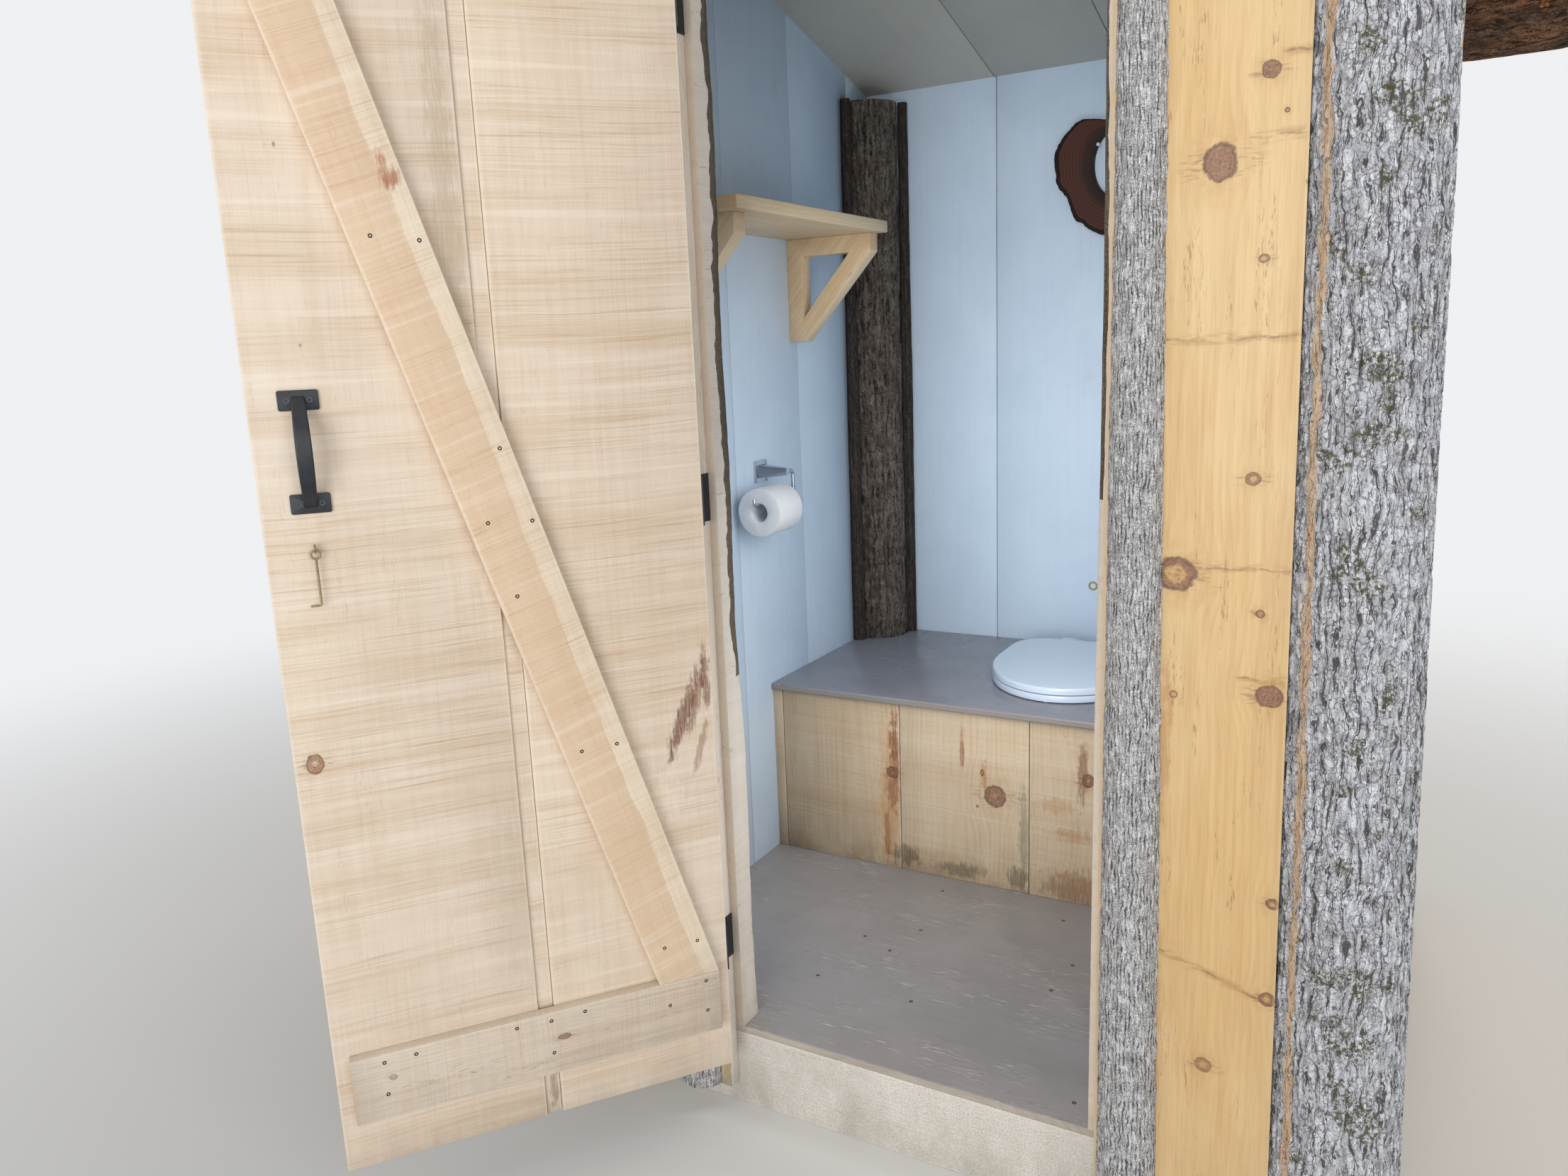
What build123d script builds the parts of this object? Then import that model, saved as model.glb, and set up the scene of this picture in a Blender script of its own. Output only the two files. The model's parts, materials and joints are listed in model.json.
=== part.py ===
from build123d import *
from math import atan, ceil, cos, degrees, radians, sin, sqrt
import os

# Wooden outhouse: a square cabin on a rim of planks, with a round log post at each corner,
# board walls lined inside, a shed roof on two plate logs, a bench with a seat, and a braced
# plank door on three butt hinges that stands open at rest.
# Millimetres. The origin is on the ground at the middle of the rim. +X is to the right as
# one faces the door, +Y goes in through the doorway, +Z is up.

# Rim and floor
frame_width = 1317.0
frame_depth = 1328.0
rim_height = 138.0
rim_thickness = 38.0
deck_thickness = 12.0
joist_count = 3
joist_pitch = 220.0
drop_width = 560.0
drop_depth = 420.0

# Wall layers, from the outside in
board_thickness = 24.0
girt_depth = 36.0
side_girt_depth = 19.0
girt_height = 89.0
lining_thickness = 18.0
wall_foot = 40.0
wall_board_width = 190.0
lining_board_width = 292.0
board_gap = 2.0
narrow_strip = 80.0
back_lining_seam = -279.5
side_lining_seam = -95.0
ceiling_seam = -285.0
low_girt = 430.0
middle_girt = 1160.0
high_girt = 1800.0

# Corner posts
front_post_x = 630.0
front_post_lean = 34.0
front_post_y = -640.0
front_post_foot_radius = 87.0
front_post_head_radius = 79.0
back_post_x = 598.0
back_post_y = 556.0
back_post_foot_radius = 83.0
back_post_head_radius = 76.0
back_post_head = 1900.0
sapling_radius = 13.5

# Roof
ceiling_back_height = 1930.0
roof_fall = 0.263
ceiling_thickness = 19.0
batten_section = 38.0
rafter_width = 38.0
rafter_depth = 89.0
rafter_inset = 60.5
rafters_each_side = 2
rafter_seat = 31.0
sheathing_thickness = 19.0
sheathing_width = 185.0
side_overhang = 362.0
front_overhang = 300.0
back_overhang = 170.0
front_plate_radius = 65.0
back_plate_radius = 71.0
plate_hewn = 8.0
fascia_thickness = 22.0
fascia_height = 130.0
sheet_thickness = 2.0
sheet_count = 3
rib_pitch = 170.0
rib_width = 46.0
rib_top = 20.0
rib_height = 22.0

# Doorway
opening_width = 635.0
head_board_height = 182.0
jamb_thickness = 23.0
jamb_reveal = 15.0
jamb_wane = (3.0, 8.0, 4.0, 11.0, 5.0, 9.0, 3.0, 7.0, 2.0)
half_log_width = 91.0
half_log_depth = 40.0
half_log_foot = 45.0
half_log_set_back = 2.0
hinge_log_set_back = 16.0
half_log_clearance = 15.0

# Door
door_gap = 5.0
door_foot = 111.0
door_thickness = 22.0
door_open_angle = 128.0
filler_place = 295.0
filler_width = 25.0
filler_recess = 5.0
filler_gap = 0.5
wane_width = 13.0
wane_depth = 10.0
ledge_thickness = 20.0
ledge_margin = 22.0
low_ledge_rise = 84.0
high_ledge_drop = 194.0
ledge_width = 107.0
brace_width = 103.0

# Butt hinges
low_hinge_rise = 215.0
middle_hinge_rise = 976.0
high_hinge_drop = 288.0
hinge_length = 76.0
hinge_leaf = 2.0
barrel_radius = 4.0
pin_radius = 2.0
pin_bite = 1.0
pin_play = 0.1
knuckle_gap = 0.5

# Door pull, hook and eyes
pull_place = 560.0
pull_foot = 1119.0
pull_height = 166.0
pull_plate_width = 52.0
pull_plate_height = 27.0
pull_plate_thickness = 3.0
pull_plate_corner = 3.0
pull_grip_end = 17.0
pull_grip_middle = 21.0
pull_grip_thickness = 8.0
pull_grip_round = 2.5
pull_reach = 40.0
hook_place = 562.0
hook_drop = 48.0
hook_length = 74.0
hook_tip = 14.0
hook_bend = 3.0
hook_ring_radius = 6.0
wire_radius = 1.6
eye_radius = 5.0
eye_wire = 1.3
eye_stand = 9.0
jamb_eye_drop = 92.0
jamb_eye_depth = 16.0

# Bench and seat
bench_height = 554.0
bench_depth = 588.0
bench_top_thickness = 15.0
bench_nose = 8.0
bench_board_thickness = 20.0
bench_seam = -6.5
bench_board_width = 293.0
bench_strip = 20.0
seat_width = 360.0
seat_length = 415.0
seat_front = 105.0
ring_thickness = 14.0
ring_foot = 3.0
lid_thickness = 14.0
lid_gap = 3.0
lid_round = 5.0
hole_width = 215.0
hole_length = 275.0
hole_shift = 17.5
seat_corner = 90.0
pad_radius = 5.0
pad_place = 120.0
lid_pin_radius = 4.0
lid_pin_back = 12.0
lid_pin_rise = 8.0
lid_pin_inside = 25.0
lug_radius = 7.0
lug_length = 20.0
shoe_place = 70.0
shoe_width = 34.0
shoe_depth = 26.0
shoe_cover = 1.0

# Shelf, paper holder and wall disc
shelf_height = 1580.0
shelf_depth = 235.0
shelf_front = -421.0
shelf_length = 625.0
shelf_thickness = 25.0
bracket_section = 38.0
bracket_leg = 226.0
bracket_arm = 209.0
bracket_inset = 27.0
strut_width = 53.0
holder_y = 3.0
holder_height = 1050.0
holder_plate = 48.0
holder_plate_thickness = 6.0
neck_foot_width = 29.0
neck_head_width = 14.5
holder_rod_radius = 4.0
rod_turn = 29.0
holder_drop = 59.0
holder_bend = 8.0
roll_radius = 51.5
roll_core_radius = 20.0
roll_length = 100.0
roll_place = 23.5
rod_tip_reach = 18.0
roll_wall_gap = 17.5
seat_gap = 0.3
disc_x = -13.0
disc_height = 1680.0
disc_radii = (125.0, 128.0, 124.0, 122.0, 139.0, 134.0, 118.0, 103.0, 122.0, 138.0, 134.0, 128.0)
disc_thickness = 25.0
hollow_x = 3.0
hollow_height = 1702.0
hollow_width = 90.0
hollow_rise = 140.0

# Worked out from the sizes above
half_width = frame_width / 2
half_depth = frame_depth / 2
floor_level = rim_height + deck_thickness
room_x = half_width - side_girt_depth - lining_thickness
room_y = half_depth - girt_depth - lining_thickness
front_face = -(half_depth + board_thickness)
door_width = opening_width - 2 * door_gap
opening_left = -opening_width / 2
opening_right = opening_width / 2
door_left = opening_left + door_gap
door_inner_face = -half_depth - door_gap
door_outer_face = door_inner_face - door_thickness
jamb_right = opening_right - jamb_reveal
hinge_x = opening_left + door_gap / 2
hinge_y = door_outer_face - barrel_radius - knuckle_gap
roof_angle = degrees(atan(roof_fall))
front_eave = half_depth + board_thickness + front_overhang
back_eave = half_depth + board_thickness + back_overhang
roof_half_width = half_width + side_overhang
rafter_spacing = (roof_half_width - rafter_inset) / rafters_each_side
rafter_floor = ceiling_thickness + batten_section
sheathing_floor = rafter_floor + rafter_depth
sheet_floor = sheathing_floor + sheathing_thickness
bench_front = room_y - bench_depth
ring_level = bench_height + ring_foot
lid_level = ring_level + ring_thickness + lid_gap
lid_hinge_y = seat_front + seat_length + lid_pin_back
lid_hinge_level = ring_level + ring_thickness + lid_pin_rise
roll_x = -room_x + roll_wall_gap + roll_radius
rod_level = holder_height - holder_drop
roll_level = rod_level - roll_core_radius + holder_rod_radius + seat_gap

nodes = {}


def add(name, *shapes):
    """Keep the solids of one node."""
    nodes[name] = Compound(children=[s for shape in shapes for s in shape.solids()])


def slab(x0, x1, y0, y1, z0, z1):
    """A box between two corners."""
    centre = Pos((x0 + x1) / 2, (y0 + y1) / 2, (z0 + z1) / 2)
    return centre * Box(abs(x1 - x0), abs(y1 - y0), abs(z1 - z0))


def ceiling_at(y, rise=0.0):
    """Height at y of the sloping plane that lies rise above the ceiling's underside."""
    return ceiling_back_height + roof_fall * (room_y - y) + rise / cos(atan(roof_fall))


def prism_x(x0, x1, outline):
    """A prism along X with its outline given as (y, z) points."""
    return extrude(Plane.YZ.offset(min(x0, x1)) * Polygon(*outline, align=None), abs(x1 - x0))


def upright(x0, x1, y0, y1, foot, rise):
    """An upright board whose top follows the roof, rise above the ceiling's underside."""
    outline = [(y0, foot), (y1, foot), (y1, ceiling_at(y1, rise)), (y0, ceiling_at(y0, rise))]
    return prism_x(x0, x1, outline)


def log(foot, head, foot_radius, head_radius):
    """A round tapering log between two points."""
    axis = Vector(*head) - Vector(*foot)
    side = Vector(1, 0, 0) if abs(axis.X) < abs(axis.Z) else Vector(0, 1, 0)
    ends = [Plane(origin=foot, x_dir=side, z_dir=axis) * Circle(foot_radius),
            Plane(origin=head, x_dir=side, z_dir=axis) * Circle(head_radius)]
    return loft(ends, ruled=True)


def spans(start, end, width, seam, least=narrow_strip):
    """Boards between two edges with a seam at a set place; an end strip under least stays joined."""
    pitch = width + board_gap
    seams = [seam + i * pitch for i in range(-ceil((seam - start) / pitch), ceil((end - seam) / pitch))]
    seams = [place for place in seams if start + least < place < end - least]
    starts = [start] + [place + board_gap / 2 for place in seams]
    ends = [place - board_gap / 2 for place in seams] + [end]
    return list(zip(starts, ends))


roof_plane = Plane(origin=(0, 0, ceiling_at(0)), x_dir=(1, 0, 0),
                   z_dir=(0, sin(radians(roof_angle)), cos(radians(roof_angle))))


def roof_slab(x0, x1, y0, y1, z0, z1):
    """A box laid on the roof's slope; y is measured level, z square to the slope."""
    stretch = 1 / cos(radians(roof_angle))
    return roof_plane * slab(x0, x1, y0 * stretch, y1 * stretch, z0, z1)


def front_plate_axis():
    """Height of the front plate log's axis."""
    return ceiling_at(front_post_y, rafter_floor + rafter_seat) - front_plate_radius


def back_plate_y():
    """Distance back of the back plate log's axis."""
    return half_depth + board_thickness + back_plate_radius - plate_hewn


def build_plates():
    """Plate logs along X: the front one on the posts, the back one against the back wall."""
    reach = roof_half_width - board_gap
    rafters = rafter_set()
    level = front_plate_axis()
    front = log((-reach, front_post_y, level), (reach, front_post_y, level),
                front_plate_radius, front_plate_radius)
    back_y = back_plate_y()
    level = ceiling_at(back_y, rafter_floor + rafter_seat) - back_plate_radius
    back = log((-reach, back_y, level), (reach, back_y, level), back_plate_radius, back_plate_radius)
    wall_end = half_width + board_thickness
    back -= slab(-wall_end, wall_end, back_y - back_plate_radius, half_depth + board_thickness, 0, 2 * level)
    for rafter in rafters:
        front -= rafter
        back -= rafter
    return front, back


def rafter_set():
    """Sawn rafters down the slope."""
    start = fascia_thickness - front_eave
    end = back_eave - fascia_thickness
    places = [i * rafter_spacing for i in range(-rafters_each_side, rafters_each_side + 1)]
    return [roof_slab(x - rafter_width / 2, x + rafter_width / 2, start, end,
                      rafter_floor, rafter_floor + rafter_depth) for x in places]


front_plate, back_plate = build_plates()

opening_top = front_plate_axis() - head_board_height
half_log_head = front_plate_axis() - front_plate_radius - half_log_clearance
door_top = opening_top - door_gap
low_ledge = door_foot + low_ledge_rise
high_ledge = door_top - high_ledge_drop
hinge_heights = (door_foot + low_hinge_rise, door_foot + middle_hinge_rise, door_top - high_hinge_drop)
hook_height = pull_foot - hook_drop
jamb_eye_height = hook_height - jamb_eye_drop


def front_post(side):
    """A front post: a leaning log with its head hollowed for the plate log."""
    level = front_plate_axis()
    foot = (side * front_post_x, front_post_y, 0)
    head = (side * (front_post_x - front_post_lean), front_post_y, level - front_plate_radius / 2)
    post = log(foot, head, front_post_foot_radius, front_post_head_radius)
    saddle = log((-half_width * 2, front_post_y, level), (half_width * 2, front_post_y, level),
                 front_plate_radius, front_plate_radius)
    return post - saddle


def back_post(side):
    """A back post, hewn flat outside where the wall boards are nailed to it."""
    post = log((side * back_post_x, back_post_y, 0), (side * back_post_x, back_post_y, back_post_head),
               back_post_foot_radius, back_post_head_radius)
    waste = slab(side * half_width, side * (half_width + back_post_foot_radius),
                 back_post_y - back_post_foot_radius, back_post_y + back_post_foot_radius,
                 0, back_post_head)
    return post - waste


posts = {"front_left_post": front_post(-1), "front_right_post": front_post(1),
         "back_left_post": back_post(-1), "back_right_post": back_post(1)}
for name, post in posts.items():
    add(name, post)
add("front_plate_log", front_plate)
add("back_plate_log", back_plate)


def clear_of_posts(shape):
    """Scribe a piece round the corner posts and keep its main part."""
    for post in posts.values():
        shape = shape - post
    return max(shape.solids(), key=lambda solid: solid.volume)


def build_floor():
    """Rim planks on edge between the posts, joists across and a deck with the drop cut in it."""
    inner_x = half_width - rim_thickness
    rims = [slab(-front_post_x, front_post_x, -half_depth, rim_thickness - half_depth, 0, rim_height),
            slab(-inner_x, inner_x, half_depth - rim_thickness, half_depth, 0, rim_height)]
    for side in (-1, 1):
        rims.append(slab(side * inner_x, side * half_width, front_post_y, half_depth, 0, rim_height))
    rims = [clear_of_posts(rim) for rim in rims]
    add("rim_boards", *rims)

    joists = [slab(-inner_x, inner_x, -i * joist_pitch - rim_thickness / 2,
                   -i * joist_pitch + rim_thickness / 2, 0, rim_height) for i in range(joist_count)]
    add("floor_joists", *joists)

    deck = slab(-half_width, half_width, -half_depth, half_depth, rim_height, floor_level)
    drop_y = seat_middle()
    deck -= slab(-drop_width / 2, drop_width / 2, drop_y - drop_depth / 2, drop_y + drop_depth / 2,
                 rim_height, floor_level)
    add("floor_deck", clear_of_posts(deck))


def seat_middle():
    """Distance back of the middle of the hole in the seat."""
    return seat_front + seat_length / 2 - hole_shift


build_floor()


def build_walls():
    """Outer boards, girts and white lining boards of the four walls."""
    back_boards = [upright(a, b, half_depth, half_depth + board_thickness, wall_foot, rafter_floor)
                   for a, b in spans(-half_width, half_width, wall_board_width, -half_width)]
    add("back_wall_boards", *back_boards)
    for name, side in (("left", -1), ("right", 1)):
        boards = []
        for a, b in spans(front_post_y, half_depth + board_thickness, wall_board_width, front_post_y):
            board = upright(side * half_width, side * (half_width + board_thickness), a, b,
                            wall_foot, sheathing_floor)
            board = board - posts["front_" + name + "_post"]
            boards.append(board - front_plate - back_plate)
        add(name + "_wall_boards", *boards)
        lining = []
        for a, b in spans(-room_y, room_y, lining_board_width, side_lining_seam):
            strip = upright(side * room_x, side * (room_x + lining_thickness), a, b, floor_level, 0)
            lining.append(clear_of_posts(strip) - front_plate)
        add(name + "_lining", *lining)
    lining = [clear_of_posts(upright(a, b, room_y, room_y + lining_thickness, floor_level, 0))
              for a, b in spans(-room_x, room_x, lining_board_width, back_lining_seam)]
    add("back_lining", *lining)

    girts = []
    girt_x = half_width - side_girt_depth
    girt_y = half_depth - girt_depth
    for level in (low_girt, middle_girt, high_girt):
        top = level + girt_height
        girts.append(clear_of_posts(slab(-half_width, half_width, girt_y, half_depth, level, top)))
        for side in (-1, 1):
            girts.append(clear_of_posts(slab(side * girt_x, side * half_width, front_post_y, girt_y,
                                             level, top)))
            jamb_back = jamb_right + jamb_thickness
            girts.append(clear_of_posts(slab(side * jamb_back, side * front_post_x, -half_depth, -girt_y,
                                             level, top)))
    add("wall_girts", *girts)


build_walls()


def live_edge_jamb(start, head):
    """An upright jamb board whose edge in the room keeps the wavy line of the tree."""
    pitch = (head - floor_level) / (len(jamb_wane) - 1)
    edge = [(-room_y - wane, floor_level + i * pitch) for i, wane in enumerate(jamb_wane)]
    outline = Spline(*edge) + Polyline(edge[-1], (-half_depth, head), (-half_depth, floor_level), edge[0])
    return extrude(Plane.YZ.offset(start) * make_face(outline), jamb_thickness)


def build_front():
    """Front wall: boards and lining beside and over the doorway, jambs and half-log trim."""
    level = front_plate_axis()
    for name, side in (("left", -1), ("right", 1)):
        board = slab(side * opening_width / 2, side * front_post_x, front_face, -half_depth,
                     wall_foot, level)
        add("front_" + name + "_board", board - posts["front_" + name + "_post"] - front_plate)
    head = slab(opening_left + board_gap, opening_right - board_gap, front_face, -half_depth,
                opening_top, level)
    add("front_head_board", head - front_plate)

    jamb_back = jamb_right + jamb_thickness
    jamb_head = opening_top - jamb_reveal - board_gap
    lining = [slab(-jamb_back + board_gap, jamb_back - board_gap, -room_y - lining_thickness, -room_y,
                   jamb_head + jamb_thickness, level) - front_plate]
    for side in (-1, 1):
        strip = slab(side * jamb_back, side * front_post_x, -room_y - lining_thickness, -room_y,
                     floor_level, level)
        lining.append(clear_of_posts(strip) - front_plate)
    add("front_lining", *lining)

    add("right_jamb", slab(jamb_right, jamb_back, -half_depth, -room_y, floor_level, jamb_head))
    add("left_jamb", live_edge_jamb(-jamb_back, jamb_head))
    add("head_jamb", slab(-jamb_back, jamb_back, -half_depth, -room_y, jamb_head,
                          jamb_head + jamb_thickness))

    section = Ellipse(half_log_width / 2, half_log_depth)
    half = section - Pos(0, half_log_depth) * Rectangle(half_log_width, 2 * half_log_depth)
    left_x = opening_left - hinge_log_set_back - half_log_width / 2
    right_x = opening_right + half_log_set_back + half_log_width / 2
    for name, x in (("left", left_x), ("right", right_x)):
        add(name + "_half_log", extrude(Pos(x, front_face, half_log_foot) * half,
                                        half_log_head - half_log_foot))
    across = Plane(origin=(left_x + half_log_width / 2 + board_gap, front_face,
                           opening_top + board_gap + half_log_width / 2),
                   x_dir=(0, 0, -1), z_dir=(1, 0, 0))
    add("head_half_log", extrude(across * half, right_x - left_x - half_log_width - 2 * board_gap))


build_front()


def build_roof():
    """Ceiling boards, battens, rafters, sheathing, fascias and ribbed sheets."""
    ceiling_front = front_post_y + front_plate_radius
    edge = room_x + lining_thickness
    ceiling = [clear_of_posts(roof_slab(a, b, ceiling_front, room_y + lining_thickness,
                                        0, ceiling_thickness))
               for a, b in spans(-edge, edge, lining_board_width, ceiling_seam)]
    add("ceiling_boards", *ceiling)
    battens = []
    for y in (ceiling_front + batten_section, 0, room_y - batten_section):
        battens.append(roof_slab(-edge, edge, y - batten_section / 2, y + batten_section / 2,
                                 ceiling_thickness, rafter_floor))
    add("ceiling_battens", *battens)
    add("rafters", *rafter_set())
    stretch = cos(radians(roof_angle))
    courses = spans(-front_eave, back_eave, sheathing_width * stretch, -front_eave)
    add("roof_boards", *[roof_slab(-roof_half_width, roof_half_width, a, b, sheathing_floor,
                                   sheet_floor) for a, b in courses])
    fascia_floor = sheathing_floor - fascia_height
    add("fascia_boards",
        roof_slab(-roof_half_width, roof_half_width, -front_eave, fascia_thickness - front_eave,
                  fascia_floor, sheathing_floor),
        roof_slab(-roof_half_width, roof_half_width, back_eave - fascia_thickness, back_eave,
                  fascia_floor, sheathing_floor))

    cover = 2 * roof_half_width / sheet_count
    ribs = int(cover // rib_pitch)
    pitch = cover / ribs
    sheets = []
    for i in range(sheet_count):
        start = -roof_half_width + i * cover
        top = []
        for k in range(ribs):
            middle = start + k * pitch + pitch / 2
            top += [(middle - rib_width / 2, 0), (middle - rib_top / 2, rib_height),
                    (middle + rib_top / 2, rib_height), (middle + rib_width / 2, 0)]
        top = [(start, 0)] + top + [(start + cover - board_gap, 0)]
        under = [(x, z - sheet_thickness) for x, z in reversed(top)]
        profile = Polygon(*(top + under), align=None)
        length = (front_eave + back_eave) / stretch
        place = roof_plane * Pos(0, -front_eave / stretch, sheet_floor + sheet_thickness) * Rot(90, 0, 0)
        sheets.append(extrude(place * profile, length, dir=roof_plane.y_dir))
    add("roof_sheets", *sheets)


build_roof()


def build_saplings():
    """Peeled saplings that close the joint between the back posts and the lining."""
    saplings = []
    for side in (-1, 1):
        reach_side = sqrt((back_post_foot_radius + sapling_radius) ** 2
                          - (room_x - sapling_radius - back_post_x) ** 2)
        beside = (side * (room_x - sapling_radius), back_post_y - reach_side)
        reach_back = sqrt((back_post_foot_radius + sapling_radius) ** 2
                          - (room_y - sapling_radius - back_post_y) ** 2)
        behind = (side * (back_post_x - reach_back), room_y - sapling_radius)
        for x, y in (beside, behind):
            foot = bench_height
            head = min(back_post_head, ceiling_at(y + sapling_radius) - board_gap)
            saplings.append(Pos(x, y, (foot + head) / 2) * Cylinder(sapling_radius, head - foot))
    add("corner_saplings", *saplings)


build_saplings()


def build_bench():
    """Bench across the back: bearers, plank front and a painted top with the seat hole."""
    under = bench_height - bench_top_thickness
    planks = [slab(a, b, bench_front, bench_front + bench_board_thickness, floor_level, under)
              for a, b in spans(-room_x, room_x, bench_board_width, bench_seam, bench_strip)]
    add("bench_front", *planks)
    inner = bench_front + bench_board_thickness
    low = under - batten_section
    bearers = [slab(-room_x, room_x, inner, inner + batten_section, low, under),
               slab(-room_x, room_x, room_y - batten_section, room_y, low, under)]
    for side in (-1, 1):
        bearers.append(slab(side * (room_x - batten_section), side * room_x,
                            inner + batten_section + board_gap, room_y - batten_section - board_gap,
                            low, under))
    add("bench_bearers", *[clear_of_posts(piece) for piece in bearers])
    top = slab(-room_x, room_x, bench_front - bench_nose, room_y, under, bench_height)
    hole = Pos(0, seat_middle(), under) * extrude(Ellipse(hole_width / 2, hole_length / 2),
                                                  bench_top_thickness)
    add("bench_top", clear_of_posts(top - hole))


build_bench()


def seat_outline():
    """Outline of seat and lid: a long round front and a squarer back."""
    half = seat_width / 2
    waist = seat_front + seat_length - half
    front = Pos(0, waist) * Ellipse(half, waist - seat_front)
    front -= Pos(0, waist + half) * Rectangle(2 * half, 2 * half)
    back = Pos(0, (waist + seat_front + seat_length) / 2) * Rectangle(seat_width, half)
    back = fillet(back.vertices().group_by(Axis.Y)[-1], seat_corner)
    return front + back


def build_seat():
    """Seat ring, its hinge shoes with a pin, and the lid."""
    ring = extrude(Pos(0, 0, ring_level) * seat_outline(), ring_thickness)
    ring -= Pos(0, seat_middle(), ring_level) * extrude(Ellipse(hole_width / 2, hole_length / 2),
                                                        ring_thickness)
    pad_level = (bench_height + ring_level) / 2
    for x, y in ((-pad_place, seat_middle()), (pad_place, seat_middle()),
                 (0, seat_front + 2 * pad_radius)):
        ring += Pos(x, y, pad_level) * Cylinder(pad_radius, ring_foot)
    add("seat_ring", ring)

    lid = extrude(Pos(0, 0, lid_level) * seat_outline(), lid_thickness)
    lid = fillet(lid.faces().sort_by(Axis.Z)[-1].edges(), lid_round)
    back_edge = seat_front + seat_length
    shoes = []
    for side in (-1, 1):
        inner = shoe_place - shoe_width / 2
        outer = shoe_place + shoe_width / 2
        shoe = slab(side * inner, side * outer, lid_hinge_y - lid_pin_back / 2,
                    lid_hinge_y - lid_pin_back / 2 + shoe_depth,
                    bench_height, lid_hinge_level + lid_pin_radius + shoe_cover)
        shoe += slab(side * (inner + lug_radius), side * (outer - lug_radius), back_edge,
                     lid_hinge_y, ring_level, ring_level + ring_thickness)
        shoe += Pos(side * (lid_pin_inside + inner) / 2, lid_hinge_y, lid_hinge_level) * Rot(0, 90, 0) \
            * Cylinder(lid_pin_radius, inner - lid_pin_inside)
        shoes.append(shoe)
        lug_x = side * (inner - board_gap - lug_length / 2)
        place = Pos(lug_x, lid_hinge_y, lid_hinge_level) * Rot(0, 90, 0)
        lid += place * Cylinder(lug_radius, lug_length)
        lid += slab(lug_x - lug_length / 2, lug_x + lug_length / 2, back_edge - lug_radius,
                    lid_hinge_y, lid_level, lid_hinge_level + lug_radius)
        lid -= place * Cylinder(lid_pin_radius + pin_play, lug_length)
    add("seat_hinge", *shoes)
    add("seat_lid", lid)


build_seat()


def build_shelf():
    """Pine shelf on two braced brackets."""
    wall = -room_x
    under = shelf_height - shelf_thickness
    add("shelf_board", slab(wall, wall + shelf_depth, shelf_front, shelf_front + shelf_length,
                            under, shelf_height))
    brackets = []
    first = shelf_front + bracket_inset
    last = shelf_front + shelf_length - bracket_section
    for y in (first, last):
        side = y + bracket_section
        leg = slab(wall, wall + bracket_section, y, side, under - bracket_leg, under)
        arm = slab(wall, wall + bracket_arm, y, side, under - bracket_section, under)
        foot = under - bracket_leg
        reach = wall + bracket_arm
        strut = [(wall + bracket_section, foot), (reach, under - bracket_section),
                 (reach - strut_width, under - bracket_section),
                 (wall + bracket_section, foot + strut_width)]
        brace = extrude(Plane.XZ.offset(-side) * Polygon(*strut, align=None), bracket_section)
        brackets.append(leg + arm + brace)
    add("shelf_brackets", *brackets)


build_shelf()


def build_holder():
    """Chrome paper holder with its bent rod, and the roll on it."""
    wall = -room_x
    plate = slab(wall, wall + holder_plate_thickness, holder_y - holder_plate / 2,
                 holder_y + holder_plate / 2, holder_height - holder_plate / 2,
                 holder_height + holder_plate / 2)
    neck = loft([Plane(origin=(wall + holder_plate_thickness, holder_y, holder_height),
                       x_dir=(0, 1, 0), z_dir=(1, 0, 0)) * Rectangle(neck_foot_width, neck_foot_width),
                 Plane(origin=(roll_x + holder_rod_radius, holder_y, holder_height),
                       x_dir=(0, 1, 0), z_dir=(1, 0, 0)) * Rectangle(neck_head_width, neck_head_width)],
                ruled=True)
    turn = holder_y + rod_turn
    roll_middle = holder_y - roll_place - roll_length / 2
    tip = roll_middle - roll_length / 2 - rod_tip_reach
    path = FilletPolyline((roll_x, holder_y, holder_height), (roll_x, turn, holder_height),
                          (roll_x, turn, rod_level), (roll_x, tip, rod_level),
                          (roll_x, tip, rod_level + 2 * holder_bend), radius=holder_bend)
    start = Plane(origin=(roll_x, holder_y, holder_height), z_dir=(0, 1, 0))
    rod = sweep(start * Circle(holder_rod_radius), path=path)
    add("paper_holder", plate + neck + rod)
    roll = Cylinder(roll_radius, roll_length) - Cylinder(roll_core_radius, roll_length)
    add("paper_roll", Pos(roll_x, roll_middle, roll_level) * Rot(90, 0, 0) * roll)


build_holder()


def build_disc():
    """A slice of a hollow log with an uneven outline, flat on the back lining."""
    turn = 360 / len(disc_radii)
    outline = [(disc_x + radius * cos(radians(i * turn)), disc_height + radius * sin(radians(i * turn)))
               for i, radius in enumerate(disc_radii)]
    face = make_face(Spline(*outline, periodic=True))
    face -= Pos(hollow_x, hollow_height) * Ellipse(hollow_width / 2, hollow_rise / 2)
    add("wall_disc", extrude(Plane.XZ.offset(-room_y) * face, disc_thickness))


build_disc()


def screw_eye(shank):
    """A screw eye: an upright ring of wire on a shank along +Y, the ring's middle at the origin."""
    ring = Rot(0, 90, 0) * Torus(eye_radius, eye_wire)
    stem = Pos(0, eye_radius + shank / 2, 0) * Rot(90, 0, 0) * Cylinder(eye_wire, shank)
    return ring + stem


eye_place = Pos(jamb_right - eye_stand, jamb_eye_depth - half_depth, jamb_eye_height)
add("screw_eye", eye_place * Rot(0, 0, -90) * screw_eye(eye_stand - eye_radius))


def knuckle(z0, z1, bore):
    """A length of hinge barrel on the hinge line."""
    tube = Pos(hinge_x, hinge_y, (z0 + z1) / 2) * Cylinder(barrel_radius, z1 - z0)
    if bore:
        tube -= Pos(hinge_x, hinge_y, (z0 + z1) / 2) * Cylinder(pin_radius + pin_play, z1 - z0)
    return tube


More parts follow.
